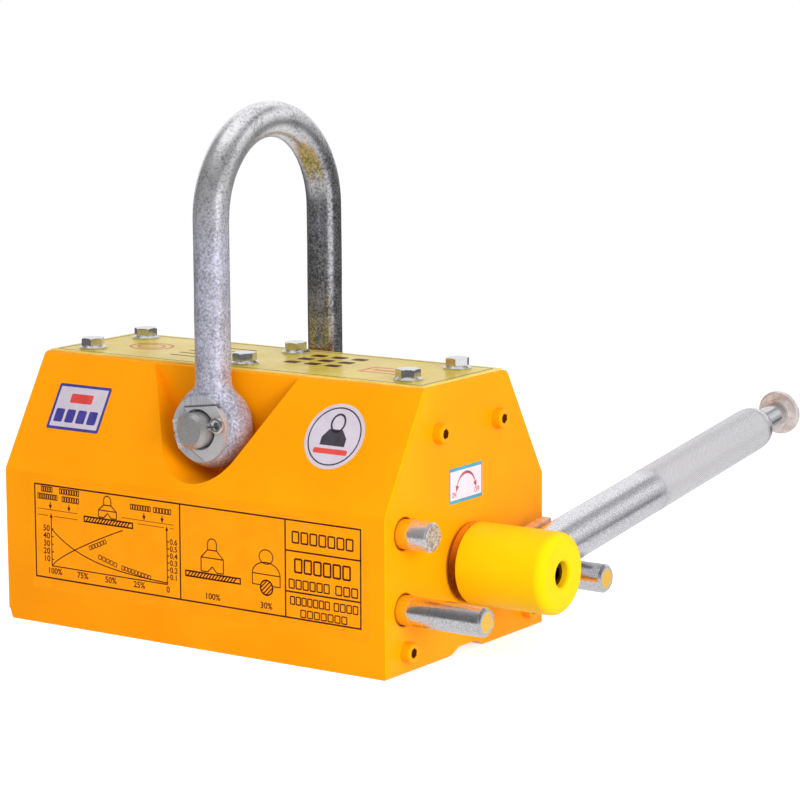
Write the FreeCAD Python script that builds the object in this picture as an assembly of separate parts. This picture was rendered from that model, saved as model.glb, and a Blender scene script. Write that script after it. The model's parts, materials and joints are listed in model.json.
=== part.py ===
import FreeCAD, Part
import math
import os

# Permanent magnetic lifter: a magnet body with a turning magnet rotor inside, a lever that turns the
# rotor, a sprung lock in the lever, and a lifting shackle. Sizes are in millimetres, angles in degrees.
# The origin is the middle of the lifting face. +X runs along the body to the lever end, -Y is the
# front and +Z is up.

# Magnet body
BODY_LENGTH = 264.0
BODY_WIDTH = 156.0
BODY_HEIGHT = 150.0
TOP_WIDTH = 82.0
SHOULDER_HEIGHT = 87.0
SHOULDER_RADIUS = 4.5
TOP_EDGE_RADIUS = 4.0
END_EDGE_CHAMFER = 0.8
END_PLATE_THICKNESS = 12.0
POLE_GAP = 24.0
FOOT_GAP = 17.0
GROOVE_DEPTH = 4.0
GROOVE_WIDTH = 34.0
REAR_STEP_HEIGHT = 5.5
REAR_STEP_DEPTH = 1.4
REAR_FOOT_DEPTH = 3.3
FOOT_CHAMFER = 1.0

# Rotor and the bore that it turns in
ROTOR_BORE = 86.0
BORE_FLOOR = 7.0
ROTOR_AIR_GAP = 0.6
ROTOR_MAGNET_THICKNESS = 28.0
ROTOR_MAGNET_HEIGHT = 68.0
ROTOR_MAGNET_COUNT = 4
ROTOR_FLANGE_DIAMETER = 80.0
ROTOR_FLANGE_THICKNESS = 6.0
ROTOR_SCREW_DIAMETER = 6.0
ROTOR_SCREW_LENGTH = 22.0
ROTOR_SCREW_HEAD = 12.0
ROTOR_SCREW_CIRCLE = 64.0
ROTOR_SCREW_ANGLE = 35.0
JOURNAL_DIAMETER = 25.0
BUSH_WALL = 3.5
REAR_BUSH_LENGTH = 9.0
THRUST_WASHER_DIAMETER = 60.0
THRUST_WASHER_THICKNESS = 2.0

# Magnets and spacers between the pole blocks
STATOR_MAGNETS_PER_SIDE = 3
MAGNET_GAP = 1.0
MAGNET_TOP_ROOM = 2.0
MAGNET_END_ROOM = 2.0
MAGNET_PIN_ROOM = 5.0
SPACER_THICKNESS = 4.0

# Top sheet and its bolts
COVER_THICKNESS = 1.0
COVER_INSET = 2.4
TOP_BOLT_DIAMETER = 8.0
TOP_BOLT_LENGTH = 16.0
TOP_BOLT_SPACING = 48.0
TOP_BOLT_END_MARGIN = 22.0
BOLT_HEAD_FLATS = 12.0
BOLT_HEAD_HEIGHT = 6.4
BOLT_HEAD_BEVEL_ANGLE = 30.0
BOLT_FLANGE_DIAMETER = 16.0
BOLT_FLANGE_RIM = 1.0
BOLT_FLANGE_HEIGHT = 2.4
BOLT_TURN_STEP = 23.0

# End plate screws, each place given as a distance from the middle and a height
END_SCREW_DIAMETER = 6.0
END_SCREW_LENGTH = 25.0
END_SCREW_HEAD_DIAMETER = 11.0
END_SCREW_HEAD_HEIGHT = 6.0
END_SCREW_SOCKET_FLATS = 5.0
END_SCREW_SOCKET_DEPTH = 3.0
END_SCREW_CHAMFER = 0.7
UPPER_END_SCREW = (29.0, 125.0)
LOWER_END_SCREW = (60.0, 12.0)

# Stop pins and lock pin on the lever end, measured from the shaft axis
STOP_PIN_DIAMETER = 16.0
STOP_PIN_CHAMFER = 1.3
STOP_PIN_SPIGOT = 12.0
STOP_PIN_SPREAD = 61.0
STOP_PIN_DROP = 15.0
STOP_PIN_LENGTH = 52.0
LOCK_PIN_RISE = 26.0
LOCK_PIN_LENGTH = 19.0
PIN_RECESS_DEPTH = 2.0

# Hub, sleeve and their fixings
HUB_GAP = 2.5
HUB_FLANGE_DIAMETER = 44.0
HUB_FLANGE_THICKNESS = 3.5
HUB_DIAMETER = 40.0
HUB_LENGTH = 53.5
HUB_SEAT_DIAMETER = 20.0
HUB_SEAT_ROOM = 0.5
KEY_SIZE = 6.0
KEY_LENGTH = 16.0
KEY_SHAFT_DEPTH = 3.5
KEY_END_ROOM = 3.0
SLEEVE_WALL = 2.5
SLEEVE_END_WALL = 5.0
SLEEVE_HOLE_DIAMETER = 14.0
SLEEVE_NOSE_RADIUS = 5.5
SLEEVE_LIP_RADIUS = 2.0
SLEEVE_REAR_RADIUS = 1.5
HUB_SCREW_DIAMETER = 10.0
HUB_SCREW_GRIP = 16.0
HUB_SCREW_HEAD_DIAMETER = 16.0
HUB_SCREW_HEAD_HEIGHT = 10.0
HUB_SCREW_SOCKET_FLATS = 8.0
HUB_SCREW_SOCKET_DEPTH = 5.0

# Lever. Stations along it are measured from the shaft axis.
LEVER_OFFSET = 33.0
LEVER_REST_ANGLE = 7.9
LEVER_STUD_DIAMETER = 16.0
LEVER_STUD_START = 7.0
LEVER_SEAT = 14.5
LEVER_DIAMETER = 26.0
LEVER_END = 277.0
LEVER_END_TAPER = 3.0
LEVER_END_TAPER_LENGTH = 8.0
LEVER_END_ROUNDING = 20.0
LEVER_RIM_RADIUS = 0.8
GUIDE_LENGTH = 18.0
GUIDE_WALL = 1.5

# Lock: push button, rod, spring and tongue
LOCK_TRAVEL = 9.0
ROD_DIAMETER = 10.0
ROD_START = 36.0
ROD_COLLAR_THICKNESS = 4.0
ROD_COLLAR_ROOM = 0.5
STEM_DIAMETER = 15.0
STEM_LENGTH = 60.0
STEM_BORE_ROOM = 0.5
ROD_SPIGOT_DIAMETER = 8.0
ROD_SPIGOT_LENGTH = 6.0
SPRING_SEAT = 60.0
SPRING_LENGTH = 35.0
SPRING_WIRE = 1.6
SPRING_ROD_ROOM = 0.6
SPRING_BORE_ROOM = 0.8
SPRING_TURNS = 5
BUTTON_GAP = 23.0
BUTTON_BOSS_DIAMETER = 17.5
BUTTON_BOSS_LENGTH = 3.5
BUTTON_DIAMETER = 27.0
BUTTON_THICKNESS = 3.5
BUTTON_EDGE_RADIUS = 1.2
TONGUE_START = 37.2
TONGUE_LENGTH = 19.5
TONGUE_HEIGHT = 18.5
TONGUE_REACH = 20.0
TONGUE_EDGE_RADIUS = 1.0
TONGUE_NECK_LENGTH = 12.0
TONGUE_NECK_HEIGHT = 5.0
TONGUE_NECK_DEPTH = 3.0
TONGUE_PIN_DIAMETER = 3.0
TONGUE_PIN_INSET = 0.5

# Shackle and its pin
PIN_DIAMETER = 20.0
PIN_HEIGHT = 120.0
PIN_END_CHAMFER = 2.2
PIN_END_ROOM = 3.8
POCKET_ROOM = 5.2
POCKET_FLANK_ANGLE = 30.0
SHACKLE_ROD_DIAMETER = 20.0
SHACKLE_BOW_RISE = 113.0
EYE_WALL = 13.5
EYE_THICKNESS = 21.0
EYE_BULGE = 4.5
EYE_FLARE_RADIUS = 8.0
EYE_FLARE_SECTIONS = 5
EYE_GAP = 1.0
EYE_WASHER_DIAMETER = 37.0
EYE_WASHER_THICKNESS = 2.5
EYE_WASHER_SPLIT = 1.5
EYE_WASHER_SPLIT_ANGLE = -62.0
EYE_WASHER_SPLIT_SLANT = 28.0
SPLIT_PIN_DIAMETER = 5.0
SPLIT_PIN_ROOM = 0.5
SPLIT_PIN_GAP = 0.4
SPLIT_PIN_TURN = 14.0
SPLIT_LEG_LENGTH = 8.0
SPLIT_LEG_ROOM = 0.4
SPLIT_EYE_STANDOFF = 5.0
SPLIT_EYE_RADIUS = 3.25
SPLIT_EYE_WIRE = 3.2

# Clearances, all on the radius or on one side
THREAD_CLEARANCE = 0.05
HOLE_CLEARANCE = 0.5
WASHER_CLEARANCE = 0.3
EYE_WASHER_CLEARANCE = 1.2
RUNNING_CLEARANCE = 0.06
SEAT_CLEARANCE = 0.02
AXIAL_PLAY = 0.2
TONGUE_CLEARANCE = 0.4
CUT_MARGIN = 2.0

# Places worked out from the sizes above
BODY_END = BODY_LENGTH / 2
CORE_END = BODY_END - END_PLATE_THICKNESS
SHAFT_HEIGHT = BORE_FLOOR + ROTOR_BORE / 2
ROTOR_RADIUS = ROTOR_BORE / 2 - ROTOR_AIR_GAP
FLANGE_OUTER = CORE_END - THRUST_WASHER_THICKNESS - AXIAL_PLAY
ROTOR_END = FLANGE_OUTER - ROTOR_FLANGE_THICKNESS
BUSH_DIAMETER = JOURNAL_DIAMETER + 2 * RUNNING_CLEARANCE + 2 * BUSH_WALL
UPPER_SPACER_TOP = SHAFT_HEIGHT + ROTOR_BORE / 2 + SPACER_THICKNESS
COVER_TOP = BODY_HEIGHT + COVER_THICKNESS
HUB_START = BODY_END + HUB_GAP
HUB_SHOULDER = HUB_START + HUB_FLANGE_THICKNESS
HUB_END = HUB_START + HUB_LENGTH
SCREW_HEAD_SEAT = HUB_END - HUB_SCREW_HEAD_HEIGHT
SLEEVE_DIAMETER = HUB_DIAMETER + 2 * SEAT_CLEARANCE + 2 * SLEEVE_WALL
SLEEVE_END = HUB_END + SLEEVE_END_WALL
LEVER_X = BODY_END + LEVER_OFFSET
HUB_SEAT_END = LEVER_X - LEVER_STUD_DIAMETER / 2 - HUB_SEAT_ROOM
SPRING_DIAMETER = ROD_DIAMETER + 2 * SPRING_ROD_ROOM + 2 * SPRING_WIRE
LEVER_BORE = max(SPRING_DIAMETER + 2 * SPRING_BORE_ROOM, STEM_DIAMETER + 2 * STEM_BORE_ROOM)
GUIDE_BORE = STEM_DIAMETER + 2 * RUNNING_CLEARANCE
GUIDE_DIAMETER = GUIDE_BORE + 2 * GUIDE_WALL
GUIDE_START = LEVER_END - GUIDE_LENGTH
TONGUE_END = TONGUE_START + TONGUE_LENGTH
NECK_START = TONGUE_START + (TONGUE_LENGTH - TONGUE_NECK_LENGTH) / 2
NECK_END = NECK_START + TONGUE_NECK_LENGTH
COLLAR_START = SPRING_SEAT + SPRING_LENGTH
BUTTON_START = LEVER_END + BUTTON_GAP
STEM_START = BUTTON_START - STEM_LENGTH
DISC_START = BUTTON_START + BUTTON_BOSS_LENGTH
BUTTON_END = DISC_START + BUTTON_THICKNESS
EYE_RADIUS = PIN_DIAMETER / 2 + EYE_WALL
POCKET_RADIUS = EYE_RADIUS + POCKET_ROOM
POCKET_FLOOR = TOP_WIDTH / 2
EYE_INNER = POCKET_FLOOR + EYE_GAP
EYE_OUTER = EYE_INNER + EYE_THICKNESS
LEG_OFFSET = EYE_INNER + EYE_THICKNESS / 2
SPLIT_PIN_OFFSET = EYE_OUTER + EYE_WASHER_THICKNESS + SPLIT_PIN_ROOM + SPLIT_PIN_DIAMETER / 2
SPLIT_EYE_REACH = PIN_DIAMETER / 2 + SPLIT_EYE_STANDOFF
PIN_END = SPLIT_PIN_OFFSET + SPLIT_PIN_DIAMETER / 2 + PIN_END_ROOM
BOW_HEIGHT = PIN_HEIGHT + SHACKLE_BOW_RISE

X_AXIS = FreeCAD.Vector(1, 0, 0)
Y_AXIS = FreeCAD.Vector(0, 1, 0)
Z_AXIS = FreeCAD.Vector(0, 0, 1)
CENTRE = FreeCAD.Vector(0, 0, 0)
SIDES = (-1, 1)


def vec(x, y, z):
    return FreeCAD.Vector(x, y, z)


def in_yz(u, v):
    return vec(0, u, v)


def in_xz(u, v):
    return vec(u, 0, v)


def block(x, y, z):
    """Box between the pairs of limits x, y and z."""
    return Part.makeBox(x[1] - x[0], y[1] - y[0], z[1] - z[0], vec(x[0], y[0], z[0]))


def rod_x(diameter, x_from, x_to, y, z):
    return Part.makeCylinder(diameter / 2, x_to - x_from, vec(x_from, y, z), X_AXIS)


def rod_y(diameter, y_from, y_to, x, z):
    return Part.makeCylinder(diameter / 2, y_to - y_from, vec(x, y_from, z), Y_AXIS)


def rod_z(diameter, z_from, z_to, x, y):
    return Part.makeCylinder(diameter / 2, z_to - z_from, vec(x, y, z_from), Z_AXIS)


def outline(corners, plane):
    """Flat face through (u, v, radius) corners, each corner rounded by a tangent arc."""
    stations = []
    for index, (u, v, radius) in enumerate(corners):
        corner = plane(u, v)
        back = (plane(*corners[index - 1][:2]) - corner).normalize()
        ahead = (plane(*corners[(index + 1) % len(corners)][:2]) - corner).normalize()
        half_angle = back.getAngle(ahead) / 2
        reach = radius / math.tan(half_angle)
        middle = (back + ahead).normalize() * (radius / math.sin(half_angle) - radius)
        stations.append((corner + back * reach, corner + middle, corner + ahead * reach, radius))
    edges = []
    for index, (start, middle, end, radius) in enumerate(stations):
        if radius > 0:
            edges.append(Part.Arc(start, middle, end).toShape())
        edges.append(Part.makeLine(end, stations[(index + 1) % len(stations)][0]))
    return Part.Face(Part.Wire(edges))


def prism_x(corners, x_from, x_to):
    """Solid of constant section along X, from (y, z, radius) corners."""
    face = outline(corners, in_yz)
    face.translate(vec(x_from, 0, 0))
    return face.extrude(vec(x_to - x_from, 0, 0))


def turned(corners):
    """Solid turned about Z, from (radius, height, edge radius) corners."""
    return outline(corners, in_xz).revolve(CENTRE, Z_AXIS, 360)


def laid_along_x(shape, x, y, z):
    """Turn a shape made along Z so that it lies along X, and move it to its place."""
    shape.rotate(CENTRE, Y_AXIS, 90)
    shape.translate(vec(x, y, z))
    return shape


def laid_along_y(shape, x, y, z):
    """Turn a shape made along Z so that it lies along +Y, and move it to its place."""
    shape.rotate(CENTRE, X_AXIS, -90)
    shape.translate(vec(x, y, z))
    return shape


def facing_rear(shape):
    """Turn a piece of the lever end round to the other end of the body."""
    shape.rotate(CENTRE, Z_AXIS, 180)
    return shape


def set_in_lever(shape):
    """Place a shape made along Z, from the shaft axis outwards, in the lever's rest position."""
    shape.rotate(CENTRE, X_AXIS, LEVER_REST_ANGLE - 90)
    shape.translate(vec(LEVER_X, 0, SHAFT_HEIGHT))
    return shape


def hexagon(flats, height):
    """Hexagonal bar along Z, standing on z = 0."""
    corner_radius = flats / math.sqrt(3)
    points = []
    for index in range(7):
        angle = math.radians(60 * index)
        points.append(vec(corner_radius * math.cos(angle), corner_radius * math.sin(angle), 0))
    return Part.Face(Part.makePolygon(points)).extrude(vec(0, 0, height))


def socket_screw(diameter, length, head_diameter, head_height, flats, socket_depth, chamfer):
    """Socket head screw along Z with the seat of its head at z = 0 and its shank below."""
    screw = turned([
        (0, -length, 0),
        (diameter / 2 - chamfer, -length, 0),
        (diameter / 2, chamfer - length, 0),
        (diameter / 2, 0, 0),
        (head_diameter / 2, 0, 0),
        (head_diameter / 2, head_height - chamfer, 0),
        (head_diameter / 2 - chamfer, head_height, 0),
        (0, head_height, 0),
    ])
    socket = hexagon(flats, socket_depth + CUT_MARGIN)
    socket.translate(vec(0, 0, head_height - socket_depth))
    return screw.cut(socket)


def split_ring(outer, inner, thickness, split, angle, slant):
    """Split spring washer, closed flat, standing on z = 0."""
    ring = Part.makeCylinder(outer / 2, thickness).cut(Part.makeCylinder(inner / 2, thickness))
    cutter = block((-outer / 2, outer / 2), (-split / 2, split / 2), (-CUT_MARGIN, thickness + CUT_MARGIN))
    cutter.rotate(CENTRE, Z_AXIS, slant)
    cutter.translate(vec((outer + inner) / 4, 0, 0))
    cutter.rotate(CENTRE, Z_AXIS, angle)
    keep_clear = Part.makeCylinder(outer, thickness + 2 * CUT_MARGIN, vec(0, 0, -CUT_MARGIN), Z_AXIS, 180)
    keep_clear.rotate(CENTRE, Z_AXIS, angle + 90)
    return ring.cut(cutter.cut(keep_clear))


def top_bolt_places():
    places = []
    for x in (TOP_BOLT_END_MARGIN - BODY_END, 0, BODY_END - TOP_BOLT_END_MARGIN):
        for side in SIDES:
            places.append((x, side * TOP_BOLT_SPACING / 2))
    return places


def end_screw_places():
    places = []
    for spread, height in (UPPER_END_SCREW, LOWER_END_SCREW):
        for side in SIDES:
            places.append((side * spread, height))
    return places


def body_section(x_from, x_to):
    """Length of the body's outer form: upright sides, sloping shoulders and a narrower top."""
    half_width = BODY_WIDTH / 2
    half_top = TOP_WIDTH / 2
    return prism_x([
        (-half_width, 0, 0),
        (half_width, 0, 0),
        (half_width, SHOULDER_HEIGHT, SHOULDER_RADIUS),
        (half_top, BODY_HEIGHT, TOP_EDGE_RADIUS),
        (-half_top, BODY_HEIGHT, TOP_EDGE_RADIUS),
        (-half_width, SHOULDER_HEIGHT, SHOULDER_RADIUS),
    ], x_from, x_to)


def foot_groove():
    """Cutter for the groove with sloping sides along the middle of the lifting face."""
    slope = (GROOVE_WIDTH - FOOT_GAP) / 2 / GROOVE_DEPTH
    low_half = GROOVE_WIDTH / 2 + slope * CUT_MARGIN
    return prism_x([
        (-low_half, -CUT_MARGIN, 0),
        (low_half, -CUT_MARGIN, 0),
        (FOOT_GAP / 2, GROOVE_DEPTH, 0),
        (-FOOT_GAP / 2, GROOVE_DEPTH, 0),
    ], -BODY_END - CUT_MARGIN, BODY_END + CUT_MARGIN)


def rotor_bore():
    return rod_x(ROTOR_BORE, -BODY_END, BODY_END, 0, SHAFT_HEIGHT)


def shackle_pocket(side):
    """Cutter for the V recess with a round bottom that clears a shackle eye."""
    flank = math.radians(POCKET_FLANK_ANGLE)
    tangent_x = POCKET_RADIUS * math.cos(flank)
    tangent_z = PIN_HEIGHT - POCKET_RADIUS * math.sin(flank)
    top_z = BODY_HEIGHT + CUT_MARGIN
    top_x = tangent_x + (top_z - tangent_z) * math.tan(flank)
    left = vec(-tangent_x, 0, tangent_z)
    right = vec(tangent_x, 0, tangent_z)
    lowest = vec(0, 0, PIN_HEIGHT - POCKET_RADIUS)
    top_left = vec(-top_x, 0, top_z)
    top_right = vec(top_x, 0, top_z)
    edges = [
        Part.Arc(left, lowest, right).toShape(),
        Part.makeLine(right, top_right),
        Part.makeLine(top_right, top_left),
        Part.makeLine(top_left, left),
    ]
    cutter = Part.Face(Part.Wire(edges))
    cutter.translate(vec(0, side * POCKET_FLOOR, 0))
    return cutter.extrude(vec(0, side * BODY_WIDTH / 2, 0))


def pole_blocks():
    """Front and rear steel pole blocks, bored for the rotor, the shackle pin and the screws."""
    blocks = body_section(-CORE_END, CORE_END)
    long_x = (-BODY_END, BODY_END)
    top_gap = block(long_x, (-POLE_GAP / 2, POLE_GAP / 2), (SHAFT_HEIGHT, BODY_HEIGHT + CUT_MARGIN))
    foot_gap = block(long_x, (-FOOT_GAP / 2, FOOT_GAP / 2), (-CUT_MARGIN, SHAFT_HEIGHT))
    pin_bore = rod_y(PIN_DIAMETER + 2 * RUNNING_CLEARANCE, -BODY_WIDTH, BODY_WIDTH, 0, PIN_HEIGHT)
    cutters = [top_gap, foot_gap, foot_groove(), rotor_bore(), pin_bore]
    for side in SIDES:
        cutters.append(shackle_pocket(side))
    bolt_hole = TOP_BOLT_DIAMETER + 2 * THREAD_CLEARANCE
    bolt_tip = COVER_TOP - TOP_BOLT_LENGTH - CUT_MARGIN / 2
    for x, y in top_bolt_places():
        cutters.append(rod_z(bolt_hole, bolt_tip, BODY_HEIGHT + CUT_MARGIN, x, y))
    screw_hole = END_SCREW_DIAMETER + 2 * THREAD_CLEARANCE
    screw_tip = BODY_END - END_SCREW_LENGTH - CUT_MARGIN
    for y, z in end_screw_places():
        cutters.append(rod_x(screw_hole, screw_tip, BODY_END, y, z))
        cutters.append(rod_x(screw_hole, -BODY_END, -screw_tip, y, z))
    for cutter in cutters:
        blocks = blocks.cut(cutter)
    front, rear = sorted(blocks.Solids, key=lambda solid: solid.CenterOfMass.y)
    return front, rear


def lower_spacer():
    """Non-magnetic strip between the pole feet, under the rotor."""
    half_gap = FOOT_GAP / 2
    strip = block((-CORE_END, CORE_END), (-half_gap, half_gap), (GROOVE_DEPTH, SHAFT_HEIGHT))
    return strip.cut(rotor_bore())


def upper_spacer():
    """Non-magnetic bar between the pole blocks, over the rotor, that carries the magnets."""
    half_gap = POLE_GAP / 2
    bar = block((-CORE_END, CORE_END), (-half_gap, half_gap), (SHAFT_HEIGHT, UPPER_SPACER_TOP))
    return bar.cut(rotor_bore())


def stator_magnets():
    """Fixed magnet blocks between the pole blocks, clear of the shackle pin."""
    inner = PIN_DIAMETER / 2 + MAGNET_PIN_ROOM
    room = CORE_END - MAGNET_END_ROOM - inner - MAGNET_GAP * (STATOR_MAGNETS_PER_SIDE - 1)
    length = room / STATOR_MAGNETS_PER_SIDE
    magnets = []
    for side in SIDES:
        for index in range(STATOR_MAGNETS_PER_SIDE):
            start = inner + index * (length + MAGNET_GAP)
            x = sorted((side * start, side * (start + length)))
            y = (-POLE_GAP / 2, POLE_GAP / 2)
            magnets.append(block(x, y, (UPPER_SPACER_TOP, BODY_HEIGHT - MAGNET_TOP_ROOM)))
    return Part.makeCompound(magnets)


def end_plate():
    """Plate of the body's outer form at the +X end, with a bevelled rim and screw holes."""
    plate = body_section(CORE_END, BODY_END)
    rim = [edge for edge in plate.Edges if edge.BoundBox.XMin > CORE_END and edge.BoundBox.ZMax > 0]
    plate = plate.makeChamfer(END_EDGE_CHAMFER, rim)
    plate = plate.cut(foot_groove())
    screw_hole = END_SCREW_DIAMETER + 2 * HOLE_CLEARANCE
    for y, z in end_screw_places():
        plate = plate.cut(rod_x(screw_hole, 0, BODY_END + CUT_MARGIN, y, z))
    return plate


def foot_cut(height, step, depth):
    """Cutter along the foot of the +X end face: a step in at a height, then a slant in to the bottom."""
    slant = (depth - step) / height
    face = outline([
        (BODY_END + CUT_MARGIN, -CUT_MARGIN, 0),
        (BODY_END + CUT_MARGIN, height, 0),
        (BODY_END - step, height, 0),
        (BODY_END - depth - slant * CUT_MARGIN, -CUT_MARGIN, 0),
    ], in_xz)
    face.translate(vec(0, -BODY_WIDTH, 0))
    return face.extrude(vec(0, 2 * BODY_WIDTH, 0))


def hub_end_plate():
    """End plate on the lever side, bored for the bush, the stop pins and the lock pin."""
    plate = end_plate()
    plate = plate.cut(foot_cut(FOOT_CHAMFER, 0, FOOT_CHAMFER))
    bush_hole = BUSH_DIAMETER + 2 * SEAT_CLEARANCE
    plate = plate.cut(rod_x(bush_hole, 0, BODY_END + CUT_MARGIN, 0, SHAFT_HEIGHT))
    pin_hole = STOP_PIN_SPIGOT + 2 * SEAT_CLEARANCE
    recess = STOP_PIN_DIAMETER + 2 * HOLE_CLEARANCE
    recess_floor = BODY_END - PIN_RECESS_DEPTH
    for place in pin_places().values():
        plate = plate.cut(rod_x(pin_hole, 0, BODY_END + CUT_MARGIN, place[0], place[1]))
        plate = plate.cut(rod_x(recess, recess_floor, BODY_END + CUT_MARGIN, place[0], place[1]))
    return plate


def rear_end_plate():
    """End plate away from the lever, with a blind seat for the bush and a stepped bottom edge."""
    plate = end_plate()
    bush_hole = BUSH_DIAMETER + 2 * SEAT_CLEARANCE
    plate = plate.cut(rod_x(bush_hole, 0, CORE_END + REAR_BUSH_LENGTH, 0, SHAFT_HEIGHT))
    plate = plate.cut(foot_cut(REAR_STEP_HEIGHT, REAR_STEP_DEPTH, REAR_FOOT_DEPTH))
    return facing_rear(plate)


def pin_places():
    """Side, height and length of the three pins that stand out of the lever end."""
    stop_height = SHAFT_HEIGHT - STOP_PIN_DROP
    return {
        "stop_pin_on": (-STOP_PIN_SPREAD, stop_height, STOP_PIN_LENGTH),
        "stop_pin_off": (STOP_PIN_SPREAD, stop_height, STOP_PIN_LENGTH),
        "lock_pin": (-STOP_PIN_SPREAD, SHAFT_HEIGHT + LOCK_PIN_RISE, LOCK_PIN_LENGTH),
    }


def end_pin(y, z, length):
    """Round steel pin that stands in a recess of the end plate, with a spigot pressed through it."""
    radius = STOP_PIN_DIAMETER / 2
    pin = turned([
        (0, -END_PLATE_THICKNESS, 0),
        (STOP_PIN_SPIGOT / 2, -END_PLATE_THICKNESS, 0),
        (STOP_PIN_SPIGOT / 2, -PIN_RECESS_DEPTH, 0),
        (radius, -PIN_RECESS_DEPTH, 0),
        (radius, length - STOP_PIN_CHAMFER, 0),
        (radius - STOP_PIN_CHAMFER, length, 0),
        (0, length, 0),
    ])
    return laid_along_x(pin, BODY_END, y, z)


def end_screws():
    """Four socket head screws that hold the end plate on the lever side."""
    screws = []
    for y, z in end_screw_places():
        screw = socket_screw(END_SCREW_DIAMETER, END_SCREW_LENGTH, END_SCREW_HEAD_DIAMETER,
                             END_SCREW_HEAD_HEIGHT, END_SCREW_SOCKET_FLATS, END_SCREW_SOCKET_DEPTH,
                             END_SCREW_CHAMFER)
        screws.append(laid_along_x(screw, BODY_END, y, z))
    return Part.makeCompound(screws)


def bush(length):
    """Bronze bush pressed into an end plate, with its inner end at the core."""
    bore = JOURNAL_DIAMETER + 2 * RUNNING_CLEARANCE
    ring = rod_x(BUSH_DIAMETER, CORE_END, CORE_END + length, 0, SHAFT_HEIGHT)
    return ring.cut(rod_x(bore, 0, BODY_END + CUT_MARGIN, 0, SHAFT_HEIGHT))


def thrust_washer():
    """Bronze washer between the rotor flange and an end plate."""
    bore = JOURNAL_DIAMETER + 2 * WASHER_CLEARANCE
    ring = rod_x(THRUST_WASHER_DIAMETER, CORE_END - THRUST_WASHER_THICKNESS, CORE_END, 0, SHAFT_HEIGHT)
    return ring.cut(rod_x(bore, 0, BODY_END, 0, SHAFT_HEIGHT))


def top_cover():
    """Thin printed metal sheet bolted on the top of the body."""
    half_length = BODY_END - COVER_INSET
    half_width = TOP_WIDTH / 2 - COVER_INSET
    sheet = block((-half_length, half_length), (-half_width, half_width), (BODY_HEIGHT, COVER_TOP))
    hole = TOP_BOLT_DIAMETER + 2 * HOLE_CLEARANCE
    for x, y in top_bolt_places():
        sheet = sheet.cut(rod_z(hole, BODY_HEIGHT - CUT_MARGIN, COVER_TOP + CUT_MARGIN, x, y))
    return sheet


def top_bolts():
    """Six hexagon flange bolts on the top, with bevelled heads, each left at an angle of its own."""
    radius = BOLT_HEAD_FLATS / 2
    bevel_drop = radius * math.tan(math.radians(BOLT_HEAD_BEVEL_ANGLE))
    bolts = []
    for index, (x, y) in enumerate(top_bolt_places()):
        crown = turned([
            (0, 0, 0),
            (BOLT_HEAD_FLATS, 0, 0),
            (BOLT_HEAD_FLATS, BOLT_HEAD_HEIGHT - bevel_drop, 0),
            (radius, BOLT_HEAD_HEIGHT, 0),
            (0, BOLT_HEAD_HEIGHT, 0),
        ])
        head = hexagon(BOLT_HEAD_FLATS, BOLT_HEAD_HEIGHT).common(crown)
        flange = turned([
            (0, 0, 0),
            (BOLT_FLANGE_DIAMETER / 2, 0, 0),
            (BOLT_FLANGE_DIAMETER / 2, BOLT_FLANGE_RIM, 0),
            (radius, BOLT_FLANGE_HEIGHT, 0),
            (0, BOLT_FLANGE_HEIGHT, 0),
        ])
        shank = Part.makeCylinder(TOP_BOLT_DIAMETER / 2, TOP_BOLT_LENGTH, vec(0, 0, -TOP_BOLT_LENGTH))
        bolt = head.fuse([flange, shank])
        bolt.rotate(CENTRE, Z_AXIS, BOLT_TURN_STEP * index)
        bolt.translate(vec(x, y, COVER_TOP))
        bolts.append(bolt)
    return Part.makeCompound(bolts)


def rotor_screw_places():
    places = []
    for side in SIDES:
        for sign in SIDES:
            angle = math.radians(sign * ROTOR_SCREW_ANGLE)
            y = side * ROTOR_SCREW_CIRCLE / 2 * math.cos(angle)
            z = SHAFT_HEIGHT + ROTOR_SCREW_CIRCLE / 2 * math.sin(angle)
            places.append((y, z))
    return places


def rotor_screw(y, z, clearance):
    """Countersunk screw in the +X rotor flange, or its hole if it is given a clearance."""
    head_height = (ROTOR_SCREW_HEAD - ROTOR_SCREW_DIAMETER) / 2
    screw = turned([
        (0, -ROTOR_SCREW_LENGTH - clearance, 0),
        (ROTOR_SCREW_DIAMETER / 2 + clearance, -ROTOR_SCREW_LENGTH - clearance, 0),
        (ROTOR_SCREW_DIAMETER / 2 + clearance, -head_height, 0),
        (ROTOR_SCREW_HEAD / 2 + clearance, 0, 0),
        (0, 0, 0),
    ])
    return laid_along_x(screw, FLANGE_OUTER, y, z)


def rotor_screws():
    return Part.makeCompound([rotor_screw(y, z, 0) for y, z in rotor_screw_places()])


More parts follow.
